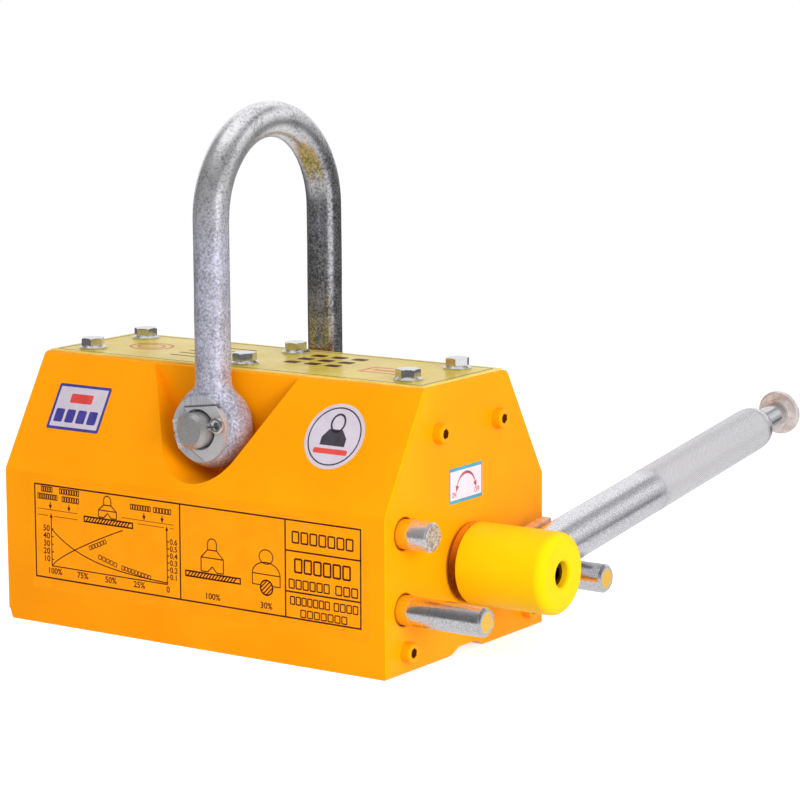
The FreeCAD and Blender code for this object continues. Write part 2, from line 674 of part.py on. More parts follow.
def rotor_pieces():
    """Two steel segments, the magnets between them and the strips that close the round."""
    half_slot = ROTOR_MAGNET_THICKNESS / 2
    half_height = ROTOR_MAGNET_HEIGHT / 2
    drum = rod_x(2 * ROTOR_RADIUS, -ROTOR_END, ROTOR_END, 0, SHAFT_HEIGHT)
    long_x = (-ROTOR_END, ROTOR_END)
    slot = block(long_x, (-half_slot, half_slot), (SHAFT_HEIGHT - ROTOR_BORE, SHAFT_HEIGHT + ROTOR_BORE))
    segments = drum.cut(slot)
    for y, z in rotor_screw_places():
        hole = rotor_screw(y, z, THREAD_CLEARANCE)
        segments = segments.cut(hole)
        segments = segments.cut(facing_rear(hole))
    front, rear = sorted(segments.Solids, key=lambda solid: solid.CenterOfMass.y)
    core = block(long_x, (-half_slot, half_slot), (SHAFT_HEIGHT - half_height, SHAFT_HEIGHT + half_height))
    lower, upper = sorted(drum.common(slot).cut(core).Solids, key=lambda solid: solid.CenterOfMass.z)
    length = (2 * ROTOR_END - MAGNET_GAP * (ROTOR_MAGNET_COUNT - 1)) / ROTOR_MAGNET_COUNT
    magnets = []
    for index in range(ROTOR_MAGNET_COUNT):
        start = -ROTOR_END + index * (length + MAGNET_GAP)
        span = block((start, start + length), (-BODY_WIDTH, BODY_WIDTH), (0, BODY_HEIGHT))
        magnets.append(core.common(span))
    return front, rear, Part.makeCompound(magnets), upper, lower


def rotor_flange(journal_end):
    """Round end flange with its bearing journal, at the +X end, with the screw holes cut."""
    flange = rod_x(ROTOR_FLANGE_DIAMETER, ROTOR_END, FLANGE_OUTER, 0, SHAFT_HEIGHT)
    flange = flange.fuse(rod_x(JOURNAL_DIAMETER, FLANGE_OUTER, journal_end, 0, SHAFT_HEIGHT))
    for y, z in rotor_screw_places():
        flange = flange.cut(rotor_screw(y, z, THREAD_CLEARANCE))
    return flange


def key_block(clearance):
    """Square key on top of the hub seat, or its keyway if it is given a clearance."""
    start = HUB_START + KEY_END_ROOM
    low = SHAFT_HEIGHT + HUB_SEAT_DIAMETER / 2 - KEY_SHAFT_DEPTH
    half_key = KEY_SIZE / 2 + clearance
    x = (start - clearance, start + KEY_LENGTH + clearance)
    return block(x, (-half_key, half_key), (low, low + KEY_SIZE + clearance))


def drive_shaft():
    """Flanged shaft that carries the rotor and the hub, tapped in its end and slotted for the key."""
    shaft = rotor_flange(HUB_START)
    shaft = shaft.fuse(rod_x(HUB_SEAT_DIAMETER, HUB_START, HUB_SEAT_END, 0, SHAFT_HEIGHT))
    tapped = HUB_SCREW_DIAMETER + 2 * THREAD_CLEARANCE
    hole_start = HUB_SEAT_END - HUB_SCREW_GRIP - CUT_MARGIN
    shaft = shaft.cut(rod_x(tapped, hole_start, HUB_END, 0, SHAFT_HEIGHT))
    return shaft.cut(key_block(0))


def rear_journal():
    """Flanged stub that carries the far end of the rotor."""
    return facing_rear(rotor_flange(CORE_END + REAR_BUSH_LENGTH - AXIAL_PLAY))


def hub():
    """Turned steel hub on the shaft end, with a keyway, a screw seat and a spot-faced lever hole."""
    body = rod_x(HUB_FLANGE_DIAMETER, HUB_START, HUB_SHOULDER, 0, SHAFT_HEIGHT)
    body = body.fuse(rod_x(HUB_DIAMETER, HUB_SHOULDER, HUB_END, 0, SHAFT_HEIGHT))
    seat_bore = HUB_SEAT_DIAMETER + 2 * SEAT_CLEARANCE
    body = body.cut(rod_x(seat_bore, BODY_END, HUB_SEAT_END + AXIAL_PLAY, 0, SHAFT_HEIGHT))
    body = body.cut(rod_x(HUB_SCREW_DIAMETER + HOLE_CLEARANCE, BODY_END, SLEEVE_END, 0, SHAFT_HEIGHT))
    head_room = HUB_SCREW_HEAD_DIAMETER + 2 * HOLE_CLEARANCE
    body = body.cut(rod_x(head_room, SCREW_HEAD_SEAT, SLEEVE_END, 0, SHAFT_HEIGHT))
    body = body.cut(key_block(0))
    stud_hole = rod_z(LEVER_STUD_DIAMETER + 2 * THREAD_CLEARANCE, LEVER_STUD_START, HUB_DIAMETER, 0, 0)
    spot_face = rod_z(LEVER_DIAMETER + 2 * HOLE_CLEARANCE, LEVER_SEAT, HUB_DIAMETER, 0, 0)
    return body.cut(set_in_lever(stud_hole.fuse(spot_face)))


def hub_sleeve():
    """Moulded cap over the hub, with a rounded nose, a screw hole and a hole for the lever."""
    length = SLEEVE_END - HUB_SHOULDER
    hub_depth = HUB_END - HUB_SHOULDER
    inner = HUB_DIAMETER / 2 + SEAT_CLEARANCE
    outer = SLEEVE_DIAMETER / 2
    hole = SLEEVE_HOLE_DIAMETER / 2
    cap = turned([
        (hole, hub_depth, 0),
        (inner, hub_depth, 0),
        (inner, 0, 0),
        (outer, 0, SLEEVE_REAR_RADIUS),
        (outer, length, SLEEVE_NOSE_RADIUS),
        (hole, length, SLEEVE_LIP_RADIUS),
    ])
    cap = laid_along_x(cap, HUB_SHOULDER, 0, SHAFT_HEIGHT)
    lever_hole = rod_z(LEVER_DIAMETER + 2 * HOLE_CLEARANCE, LEVER_SEAT, SLEEVE_DIAMETER, 0, 0)
    return cap.cut(set_in_lever(lever_hole))


def hub_screw():
    """Socket head screw that holds the hub on the shaft, seen through the hole in the sleeve."""
    length = SCREW_HEAD_SEAT - HUB_SEAT_END + HUB_SCREW_GRIP
    screw = socket_screw(HUB_SCREW_DIAMETER, length, HUB_SCREW_HEAD_DIAMETER, HUB_SCREW_HEAD_HEIGHT,
                         HUB_SCREW_SOCKET_FLATS, HUB_SCREW_SOCKET_DEPTH, END_SCREW_CHAMFER)
    return laid_along_x(screw, SCREW_HEAD_SEAT, 0, SHAFT_HEIGHT)


def lever():
    """Round lever, bored for the lock, with a threaded stud in the hub and a slot for the tongue."""
    bar = turned([
        (0, LEVER_STUD_START, 0),
        (LEVER_STUD_DIAMETER / 2, LEVER_STUD_START, 0),
        (LEVER_STUD_DIAMETER / 2, LEVER_SEAT, 0),
        (LEVER_DIAMETER / 2, LEVER_SEAT, 0),
        (LEVER_DIAMETER / 2, LEVER_END - LEVER_END_TAPER_LENGTH, LEVER_END_ROUNDING),
        (LEVER_DIAMETER / 2 - LEVER_END_TAPER, LEVER_END, LEVER_RIM_RADIUS),
        (0, LEVER_END, 0),
    ])
    rod_bore = ROD_DIAMETER + 2 * RUNNING_CLEARANCE
    bar = bar.cut(rod_z(rod_bore, ROD_START - LOCK_TRAVEL - CUT_MARGIN / 2, LEVER_END, 0, 0))
    bar = bar.cut(rod_z(LEVER_BORE, SPRING_SEAT, LEVER_END + CUT_MARGIN, 0, 0))
    bar = bar.cut(rod_z(GUIDE_DIAMETER + 2 * SEAT_CLEARANCE, GUIDE_START, LEVER_END + CUT_MARGIN, 0, 0))
    half_slot = TONGUE_NECK_HEIGHT / 2 + TONGUE_CLEARANCE
    slot_s = (NECK_START - LOCK_TRAVEL - TONGUE_CLEARANCE, NECK_END + TONGUE_CLEARANCE)
    bar = bar.cut(block((-LEVER_DIAMETER, 0), (-half_slot, half_slot), slot_s))
    pin_hole = TONGUE_PIN_DIAMETER + 2 * HOLE_CLEARANCE
    bar = bar.cut(rod_y(pin_hole, 0, LEVER_DIAMETER, 0, (NECK_START + NECK_END) / 2))
    return set_in_lever(bar)


def lever_guide():
    """Bush in the outer end of the lever that guides the stem of the lock rod."""
    ring = rod_z(GUIDE_DIAMETER, GUIDE_START, LEVER_END, 0, 0)
    return set_in_lever(ring.cut(rod_z(GUIDE_BORE, 0, LEVER_END + CUT_MARGIN, 0, 0)))


def neck_box(clearance):
    """Flat neck of the lock tongue, or the slot for it in the rod if it is given a clearance."""
    half_height = TONGUE_NECK_HEIGHT / 2 + clearance
    x = (-TONGUE_REACH, TONGUE_NECK_DEPTH + clearance)
    return block(x, (-half_height, half_height), (NECK_START - clearance, NECK_END + clearance))


def tongue_pin_bar(clearance):
    """Cross pin that holds the tongue in the rod, or its hole if it is given a clearance."""
    half_rod = ROD_DIAMETER / 2 - TONGUE_PIN_INSET
    middle = (NECK_START + NECK_END) / 2
    return rod_y(TONGUE_PIN_DIAMETER + 2 * clearance, -half_rod, half_rod + clearance, 0, middle)


def lock_rod():
    """Round rod with a spring collar, a slot for the tongue, a thicker stem and a spigot for the button."""
    collar_radius = LEVER_BORE / 2 - ROD_COLLAR_ROOM
    rod = turned([
        (0, ROD_START, 0),
        (ROD_DIAMETER / 2, ROD_START, 0),
        (ROD_DIAMETER / 2, COLLAR_START, 0),
        (collar_radius, COLLAR_START, 0),
        (collar_radius, COLLAR_START + ROD_COLLAR_THICKNESS, 0),
        (ROD_DIAMETER / 2, COLLAR_START + ROD_COLLAR_THICKNESS, 0),
        (ROD_DIAMETER / 2, STEM_START, 0),
        (STEM_DIAMETER / 2, STEM_START, 0),
        (STEM_DIAMETER / 2, BUTTON_START, 0),
        (ROD_SPIGOT_DIAMETER / 2, BUTTON_START, 0),
        (ROD_SPIGOT_DIAMETER / 2, BUTTON_START + ROD_SPIGOT_LENGTH, 0),
        (0, BUTTON_START + ROD_SPIGOT_LENGTH, 0),
    ])
    rod = rod.cut(neck_box(SEAT_CLEARANCE))
    return set_in_lever(rod.cut(tongue_pin_bar(SEAT_CLEARANCE)))


def lock_button():
    """Mushroom push button screwed on the end of the rod."""
    boss = BUTTON_BOSS_DIAMETER / 2
    disc = BUTTON_DIAMETER / 2
    button = turned([
        (0, BUTTON_START, 0),
        (boss, BUTTON_START, 0),
        (boss, DISC_START, 0),
        (disc, DISC_START, BUTTON_EDGE_RADIUS),
        (disc, BUTTON_END, BUTTON_EDGE_RADIUS),
        (0, BUTTON_END, 0),
    ])
    spigot_hole = ROD_SPIGOT_DIAMETER + 2 * THREAD_CLEARANCE
    hole_end = BUTTON_START + ROD_SPIGOT_LENGTH + THREAD_CLEARANCE
    return set_in_lever(button.cut(rod_z(spigot_hole, LEVER_END, hole_end, 0, 0)))


def lock_tongue():
    """Bar beside the lever that turns against the lock pin, with a flat neck into the rod."""
    inner_x = -LEVER_DIAMETER / 2 - TONGUE_CLEARANCE
    half_height = TONGUE_HEIGHT / 2
    bar = block((-TONGUE_REACH, inner_x), (-half_height, half_height), (TONGUE_START, TONGUE_END))
    outer_edges = [edge for edge in bar.Edges if edge.BoundBox.XMax < inner_x - TONGUE_EDGE_RADIUS]
    bar = bar.makeFillet(TONGUE_EDGE_RADIUS, outer_edges)
    tongue = bar.fuse(neck_box(0))
    return set_in_lever(tongue.cut(tongue_pin_bar(SEAT_CLEARANCE)))


def tongue_pin():
    return set_in_lever(tongue_pin_bar(0))


def lock_spring():
    """Compression spring between the seat in the lever and the collar on the rod."""
    radius = (SPRING_DIAMETER - SPRING_WIRE) / 2
    height = SPRING_LENGTH - SPRING_WIRE
    path = Part.makeHelix(height / SPRING_TURNS, height, radius)
    section = Part.Wire(Part.makeCircle(SPRING_WIRE / 2, vec(radius, 0, 0), Y_AXIS))
    coil = Part.Wire(path).makePipeShell([section], True, True)
    coil.translate(vec(0, 0, SPRING_SEAT + SPRING_WIRE / 2))
    return set_in_lever(coil)


def oval(half_x, half_y, z):
    """Ellipse across one shackle leg, longer along X."""
    if half_x - half_y < SEAT_CLEARANCE:
        return Part.Wire(Part.makeCircle(half_y, vec(0, 0, z)))
    return Part.Wire(Part.Ellipse(vec(0, 0, z), half_x, half_y).toShape())


def shackle_leg(side):
    """Straight leg with its flared foot and bulged eye, on one side of the body."""
    leg_radius = SHACKLE_ROD_DIAMETER / 2
    flare = EYE_FLARE_RADIUS
    flare_x = leg_radius + flare
    flare_top = math.sqrt((EYE_RADIUS + flare) ** 2 - flare_x ** 2)
    share = EYE_RADIUS / (EYE_RADIUS + flare)
    flare_low = flare_top * share
    ovals = []
    for index in range(EYE_FLARE_SECTIONS):
        z = flare_top + (flare_low - flare_top) * index / (EYE_FLARE_SECTIONS - 1)
        half_x = flare_x - math.sqrt(flare ** 2 - (flare_top - z) ** 2)
        ovals.append(oval(half_x, leg_radius, z))
    foot = Part.makeLoft(ovals, True)
    root = Part.Face(ovals[-1]).extrude(vec(0, 0, PIN_DIAMETER / 2 - flare_low))
    bar = Part.makeCylinder(leg_radius, SHACKLE_BOW_RISE - flare_top, vec(0, 0, flare_top))
    half_eye = EYE_THICKNESS / 2
    rim = EYE_RADIUS - EYE_BULGE
    inner_rim = vec(rim, -half_eye, 0)
    outer_rim = vec(rim, half_eye, 0)
    rim_arc = Part.Arc(inner_rim, vec(EYE_RADIUS, 0, 0), outer_rim).toShape()
    back = Part.makePolygon([outer_rim, vec(0, half_eye, 0), vec(0, -half_eye, 0), inner_rim])
    eye = Part.Face(Part.Wire([rim_arc] + back.Edges)).revolve(CENTRE, Y_AXIS, 360)
    leg = eye.fuse([root, foot, bar])
    leg.translate(vec(0, side * LEG_OFFSET, PIN_HEIGHT))
    return leg


def shackle_bow():
    """Forged shackle: a round bar bent to a bow, with an eye at each end."""
    section = Part.Face(Part.Wire(Part.makeCircle(SHACKLE_ROD_DIAMETER / 2, vec(0, LEG_OFFSET, BOW_HEIGHT))))
    bow = section.revolve(vec(0, 0, BOW_HEIGHT), X_AXIS, 180)
    for side in SIDES:
        bow = bow.fuse(shackle_leg(side))
    hole = PIN_DIAMETER + 2 * RUNNING_CLEARANCE
    bow = bow.cut(rod_y(hole, -BODY_WIDTH, BODY_WIDTH, 0, PIN_HEIGHT))
    return bow.removeSplitter()


def across_pin(shape, side):
    """Place a shape made along X in the slanting cross hole at one end of the shackle pin."""
    shape.rotate(CENTRE, Y_AXIS, -SPLIT_PIN_TURN)
    shape.translate(vec(0, side * SPLIT_PIN_OFFSET, PIN_HEIGHT))
    return shape


def shackle_pin():
    """Round cross pin through the body and both eyes, drilled near each end for the split pins."""
    radius = PIN_DIAMETER / 2
    pin = turned([
        (0, -PIN_END, 0),
        (radius - PIN_END_CHAMFER, -PIN_END, 0),
        (radius, PIN_END_CHAMFER - PIN_END, 0),
        (radius, PIN_END - PIN_END_CHAMFER, 0),
        (radius - PIN_END_CHAMFER, PIN_END, 0),
        (0, PIN_END, 0),
    ])
    pin = laid_along_y(pin, 0, 0, PIN_HEIGHT)
    hole = SPLIT_PIN_DIAMETER + 2 * SEAT_CLEARANCE
    for side in SIDES:
        pin = pin.cut(across_pin(rod_x(hole, -PIN_DIAMETER, PIN_DIAMETER, 0, 0), side))
    return pin


def eye_washer(side):
    """Split spring washer between a shackle eye and its split pin."""
    bore = PIN_DIAMETER + 2 * EYE_WASHER_CLEARANCE
    washer = split_ring(EYE_WASHER_DIAMETER, bore, EYE_WASHER_THICKNESS, EYE_WASHER_SPLIT,
                        -EYE_WASHER_SPLIT_ANGLE, EYE_WASHER_SPLIT_SLANT)
    washer = laid_along_y(washer, 0, EYE_OUTER, PIN_HEIGHT)
    if side < 0:
        washer.rotate(CENTRE, Z_AXIS, 180)
        washer.rotate(vec(0, 0, PIN_HEIGHT), Y_AXIS, 2 * EYE_WASHER_SPLIT_ANGLE + 180)
    return washer


def split_pin(side):
    """Split pin through the end of the shackle pin: a ring eye, and two legs bent apart behind the pin."""
    radius = SPLIT_PIN_DIAMETER / 2
    bend_x = -PIN_DIAMETER / 2 - SPLIT_LEG_ROOM - radius
    shank = rod_x(SPLIT_PIN_DIAMETER, bend_x, SPLIT_EYE_REACH - SPLIT_EYE_RADIUS, 0, 0)
    eye = Part.makeTorus(SPLIT_EYE_RADIUS, SPLIT_EYE_WIRE / 2, vec(SPLIT_EYE_REACH, 0, 0), Y_AXIS)
    legs = rod_z(SPLIT_PIN_DIAMETER, -SPLIT_LEG_LENGTH, SPLIT_LEG_LENGTH, bend_x, 0)
    outside = block((bend_x - SPLIT_PIN_DIAMETER, bend_x), (-radius, radius), (-PIN_DIAMETER, PIN_DIAMETER))
    pin = shank.fuse([eye, legs.cut(outside)])
    half_gap = SPLIT_PIN_GAP / 2
    gap = block((bend_x - CUT_MARGIN, SPLIT_EYE_REACH), (-PIN_DIAMETER, PIN_DIAMETER), (-half_gap, half_gap))
    return across_pin(pin.cut(gap), side)


pole_front, pole_rear = pole_blocks()
segment_front, segment_rear, rotor_magnets, strip_upper, strip_lower = rotor_pieces()
pieces = {
    "pole_front": pole_front,
    "pole_rear": pole_rear,
    "lower_spacer": lower_spacer(),
    "upper_spacer": upper_spacer(),
    "stator_magnets": stator_magnets(),
    "hub_end_plate": hub_end_plate(),
    "rear_end_plate": rear_end_plate(),
    "hub_end_screws": end_screws(),
    "rear_end_screws": facing_rear(end_screws()),
    "hub_end_bush": bush(END_PLATE_THICKNESS),
    "rear_end_bush": facing_rear(bush(REAR_BUSH_LENGTH)),
    "hub_thrust_washer": thrust_washer(),
    "rear_thrust_washer": facing_rear(thrust_washer()),
    "top_cover": top_cover(),
    "top_bolts": top_bolts(),
    "rotor_segment_front": segment_front,
    "rotor_segment_rear": segment_rear,
    "rotor_magnets": rotor_magnets,
    "rotor_strip_upper": strip_upper,
    "rotor_strip_lower": strip_lower,
    "drive_shaft": drive_shaft(),
    "rear_journal": rear_journal(),
    "hub_rotor_screws": rotor_screws(),
    "rear_rotor_screws": facing_rear(rotor_screws()),
    "shaft_key": key_block(0),
    "hub": hub(),
    "hub_sleeve": hub_sleeve(),
    "hub_screw": hub_screw(),
    "lever": lever(),
    "lever_guide": lever_guide(),
    "lock_rod": lock_rod(),
    "lock_button": lock_button(),
    "lock_tongue": lock_tongue(),
    "tongue_pin": tongue_pin(),
    "lock_spring": lock_spring(),
    "shackle_bow": shackle_bow(),
    "shackle_pin": shackle_pin(),
    "front_eye_washer": eye_washer(-1),
    "rear_eye_washer": eye_washer(1),
    "front_split_pin": split_pin(-1),
    "rear_split_pin": split_pin(1),
}
for name, (y, z, length) in pin_places().items():
    pieces[name] = end_pin(y, z, length)

os.makedirs("parts", exist_ok=True)
for name, shape in pieces.items():
    shape.exportStep(f"parts/{name}.step")
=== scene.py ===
import bpy
import bmesh
import json
import math
from mathutils import Matrix, Vector, noise


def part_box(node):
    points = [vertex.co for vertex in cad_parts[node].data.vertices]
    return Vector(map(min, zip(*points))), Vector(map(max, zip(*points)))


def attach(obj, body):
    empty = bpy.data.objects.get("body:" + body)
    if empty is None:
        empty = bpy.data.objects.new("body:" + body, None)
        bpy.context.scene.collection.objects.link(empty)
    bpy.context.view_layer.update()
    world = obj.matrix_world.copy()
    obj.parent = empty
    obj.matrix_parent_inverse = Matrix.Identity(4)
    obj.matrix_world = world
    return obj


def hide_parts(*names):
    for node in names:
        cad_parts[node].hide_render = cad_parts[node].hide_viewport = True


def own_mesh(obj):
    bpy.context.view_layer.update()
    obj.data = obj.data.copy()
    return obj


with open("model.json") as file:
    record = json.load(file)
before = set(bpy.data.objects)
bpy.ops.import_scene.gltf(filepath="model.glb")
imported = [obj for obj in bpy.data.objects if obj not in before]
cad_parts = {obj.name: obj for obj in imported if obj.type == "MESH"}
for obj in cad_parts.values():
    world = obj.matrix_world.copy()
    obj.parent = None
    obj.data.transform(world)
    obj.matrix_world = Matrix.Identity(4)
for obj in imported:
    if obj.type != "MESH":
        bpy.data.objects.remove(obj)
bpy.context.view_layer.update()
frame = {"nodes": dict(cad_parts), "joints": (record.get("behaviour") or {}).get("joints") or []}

# The studio: a camera at the photograph's viewing angle, soft lamps, and a pale floor and sky that look
# white. They aren't part of the lifter, and the floor keeps its shadow.
MM = 0.001
IMAGE_WIDTH = 800
SENSOR_WIDTH = 36.0
FOCAL_PIXELS = 2966.209
CAMERA_TARGET = Vector((88.173, 0, 134.941)) * MM
CAMERA_DISTANCE = 1623.986 * MM
AZIMUTH, ELEVATION, ROLL = (math.radians(angle) for angle in (34.461, 9.39, -0.313))
KEY_LAMP = {"place": (1.45, -0.66, 0.42), "size": 0.9, "watts": 22.0}
TOP_LAMP = {"place": (-0.1, -0.65, 1.8), "size": 1.6, "watts": 10.0}
SKY_LIGHT = 0.60
FRONT_SKY = ((0.0, 0.15), (0.55, 0.21), (0.80, 0.30), (0.92, 0.95))
RIGHT_SKY = ((0.0, 0.50), (0.12, 0.52), (0.36, 0.92), (0.56, 0.76), (0.68, 0.18), (0.95, 0.95))
LEFT_SKY = (0.95, 0.95, 0.95)
SIDE_GLOW = {"heading": (0.985, -0.17, 0), "edge": (0.92, 0.98), "tone": (1.1, 1.1, 1.1)}
SKY_SEAM = (-0.05, 0.06)
FRONT_SEAM = (0.10, 0.45)
WHITE = (1, 1, 1, 1)
FLOOR_SIZE = 14.0
FLOOR_DROP = 0.2 * MM
FLOOR_TONE = (0.8, 0.8, 0.8, 1)
FLOOR_GLOW = 0.62
FLOOR_FADE = (0.35, 1.3)
MIRRORED_FLOOR = ((0.15, 0.82), (0.50, 0.70), (0.75, 0.20), (0.95, 0.16))
FAR_FLOOR = (0.45, 0.75)


def feed(socket, value):
    """Link an output to a socket, or set the socket's own value."""
    if isinstance(value, bpy.types.NodeSocket):
        socket.id_data.links.new(value, socket)
    else:
        socket.default_value = value


def node(tree, kind, *inputs, **settings):
    """A node with its settings, and its first inputs linked or set in order. None leaves an input alone."""
    fresh = tree.nodes.new(kind)
    for setting, value in settings.items():
        setattr(fresh, setting, value)
    for socket, value in zip(fresh.inputs, inputs):
        if value is not None:
            feed(socket, value)
    return fresh


def made(tree, kind, *inputs, **settings):
    """The first output of a new node."""
    return node(tree, kind, *inputs, **settings).outputs[0]


def reckon(operation, first, second=0.0):
    """A sum, product or other reckoning of two numbers, at least one of them an output of a node."""
    tree = first.id_data if isinstance(first, bpy.types.NodeSocket) else second.id_data
    return made(tree, "ShaderNodeMath", first, second, operation=operation)


def times(first, second):
    """A product of two numbers in a node tree."""
    return reckon("MULTIPLY", first, second)


def vector_of(operation, first, *others):
    """A reckoning of vectors: a number where it is a dot product, a length or a distance."""
    fresh = node(first.id_data, "ShaderNodeVectorMath", first, *others, operation=operation)
    return fresh.outputs["Value" if operation in ("DOT_PRODUCT", "LENGTH", "DISTANCE") else "Vector"]


def axes(vector):
    """A vector's three numbers, by the names X, Y and Z."""
    return node(vector.id_data, "ShaderNodeSeparateXYZ", vector).outputs


def spread(value, start, end, low=0, high=1):
    """A number that runs from low to high while value goes from start to end."""
    return made(value.id_data, "ShaderNodeMapRange", value, start, end, low, high)


def toned(value, *stops):
    """A colour picked along stops of position and colour, or of position and grey."""
    ramp = node(value.id_data, "ShaderNodeValToRGB", value)
    elements = ramp.color_ramp.elements
    while len(elements) < len(stops):
        elements.new(1.0)
    for element, (position, colour) in zip(elements, stops):
        element.position = position
        element.color = (colour, colour, colour, 1) if isinstance(colour, float) else (*colour, 1)
    return ramp.outputs["Color"]


def mixed(mask, first, second):
    """First where the mask is 0 and second where it is 1, both colours or both numbers."""
    number = isinstance(second, (int, float))
    mix = node(mask.id_data, "ShaderNodeMix", mask, data_type="FLOAT" if number else "RGBA")
    for index, value in zip((2, 3) if number else (6, 7), (first, second)):
        feed(mix.inputs[index], (*value, 1) if isinstance(value, tuple) else value)
    return mix.outputs[0 if number else 2]


def patched(way, patch, share, tone):
    """A mirrored tone with a bright patch in one direction, by a share of 0 to 1."""
    along = vector_of("DOT_PRODUCT", way, patch["heading"])
    mask = times(spread(along, *patch["edge"]), share)
    return mixed(mask, tone, patch["tone"])


def by_ray(tree, usual, mirrored, direct):
    """A shader by kind of ray: for mirrored light, for what the camera sees, and the usual one."""
    ray = node(tree, "ShaderNodeLightPath").outputs
    lit = made(tree, "ShaderNodeMixShader", ray["Is Glossy Ray"], usual, mirrored)
    straight = reckon("MAXIMUM", ray["Is Camera Ray"], ray["Is Transmission Ray"])
    return made(tree, "ShaderNodeMixShader", straight, lit, direct)


def shown(name, mesh):
    """A new object for the mesh, at the origin."""
    piece = bpy.data.objects.new(name, mesh)
    bpy.context.scene.collection.objects.link(piece)
    return piece


def meshed(work, name):
    """The mesh of a bmesh, which is freed."""
    mesh = bpy.data.meshes.new(name)
    work.to_mesh(mesh)
    work.free()
    return mesh


def soft_lamp(name, place, size, watts):
    """A square lamp aimed at the lifter, not seen in mirrored light."""
    lamp = shown(name, bpy.data.lights.new(name, "AREA"))
    lamp.data.size = size
    lamp.data.energy = watts
    lamp.visible_glossy = False
    aim = CAMERA_TARGET - Vector(place)
    lamp.matrix_world = Matrix.Translation(place) @ aim.to_track_quat("-Z", "Y").to_matrix().to_4x4()


back = Vector((math.sin(AZIMUTH) * math.cos(ELEVATION), -math.cos(AZIMUTH) * math.cos(ELEVATION),
               math.sin(ELEVATION)))
level = Vector((math.cos(AZIMUTH), math.sin(AZIMUTH), 0))
upright = back.cross(level)
camera_right = level * math.cos(ROLL) + upright * math.sin(ROLL)
camera_up = upright * math.cos(ROLL) - level * math.sin(ROLL)
camera = shown("camera", bpy.data.cameras.new("camera"))
camera.data.sensor_width = SENSOR_WIDTH
camera.data.lens = SENSOR_WIDTH * FOCAL_PIXELS / IMAGE_WIDTH
camera_turn = Matrix((camera_right, camera_up, back)).transposed().to_4x4()
camera.matrix_world = Matrix.Translation(CAMERA_TARGET + back * CAMERA_DISTANCE) @ camera_turn
bpy.context.scene.camera = camera
bpy.context.scene.view_settings.view_transform = "Standard"

soft_lamp("key_lamp", **KEY_LAMP)
soft_lamp("top_lamp", **TOP_LAMP)

world = bpy.data.worlds.new("studio_sky")
world.use_nodes = True
bpy.context.scene.world = world
sky = world.node_tree
sky.nodes.clear()
heading = node(sky, "ShaderNodeTexCoord").outputs["Generated"]
spot = axes(heading)
behind = mixed(spread(spot["X"], *SKY_SEAM), LEFT_SKY, toned(spot["Z"], *RIGHT_SKY))
mirrored = mixed(spread(spot["Y"], *FRONT_SEAM), toned(spot["Z"], *FRONT_SKY), behind)
mirrored = patched(heading, SIDE_GLOW, 1.0, mirrored)
ambient = made(sky, "ShaderNodeBackground", WHITE, SKY_LIGHT)
reflected = made(sky, "ShaderNodeBackground", mirrored, 1.0)
white = made(sky, "ShaderNodeBackground", WHITE, 1.0)
node(sky, "ShaderNodeOutputWorld", by_ray(sky, ambient, reflected, white))

floor_white = bpy.data.materials.new("pale_floor")
floor_white.use_nodes = True
ground = floor_white.node_tree
ground.nodes.clear()
plain = made(ground, "ShaderNodeBsdfDiffuse", FLOOR_TONE)
glow = made(ground, "ShaderNodeEmission", WHITE, FLOOR_GLOW)
white = made(ground, "ShaderNodeEmission", WHITE, 1.0)
spot = node(ground, "ShaderNodeTexCoord").outputs["Object"]
away = vector_of("LENGTH", spot)
near = made(ground, "ShaderNodeAddShader", plain, glow)
lifted = made(ground, "ShaderNodeMixShader", spread(away, *FLOOR_FADE), near, white)
way = vector_of("NORMALIZE", spot)
far = spread(away, *FAR_FLOOR)
mirrored = patched(way, SIDE_GLOW, far, toned(away, *MIRRORED_FLOOR))
mirrored = made(ground, "ShaderNodeEmission", mirrored, 1.0)
node(ground, "ShaderNodeOutputMaterial", by_ray(ground, plain, mirrored, lifted))
slab = bmesh.new()
bmesh.ops.create_grid(slab, x_segments=1, y_segments=1, size=FLOOR_SIZE / 2)
floor_mesh = meshed(slab, "floor")
floor_mesh.transform(Matrix.Translation((0, 0, -FLOOR_DROP)))
floor_mesh.materials.append(floor_white)
shown("floor", floor_mesh)

# The two pole blocks: steel, machined to the house shape and bored for the rotor, with a pocket for each eye
# of the shackle. They are sprayed with an orange enamel, thick enough to soften the edges.
ENAMEL_DEEP = (0.94, 0.310, 0.001)
ENAMEL_LIGHT = (1.00, 0.352, 0.002)
ENAMEL_GLOSS = (1.00, 0.60, 0.03, 1)


def patterned(name):
    """A new material with its shader and the place that its patterns follow."""
    material = bpy.data.materials.new(name)
    material.use_nodes = True
    tree = material.node_tree
    place = node(tree, "ShaderNodeTexCoord").outputs["Object"]
    return material, tree.nodes["Principled BSDF"], place


def grain(place, spots, detail=3.0, rough=0.5):
    """Cloudy noise from 0 to 1, with so many spots to the metre."""
    return made(place.id_data, "ShaderNodeTexNoise", place, None, spots, detail, rough)


def clouded(place, spots, low, high, detail=3.0):
    """A number that drifts between low and high, with so many spots to the metre."""
    return spread(grain(place, spots, detail), 0.3, 0.7, low, high)


def coat(shader, **inputs):
    """Link or set inputs of a shader, named with underscores for spaces."""
    for label, value in inputs.items():
        feed(shader.inputs[label.replace("_", " ")], value)


def relief(shader, heights, depth):
    """Bump the shader's surface by heights of 0 to 1 over a depth in millimetres."""
    bump = node(shader.id_data, "ShaderNodeBump", 1.0, depth * MM)
    feed(bump.inputs["Height"], heights)
    coat(shader, Normal=bump.outputs["Normal"])


def dress(material, *nodes):
    """Give pieces of the frame this finish."""
    for name in nodes:
        frame["nodes"][name].material_slots[0].material = material


def enamel_colour(place):
    """Orange in two tones that drift into each other."""
    return toned(grain(place, 12, 4), (0.36, ENAMEL_DEEP), (0.62, ENAMEL_LIGHT))


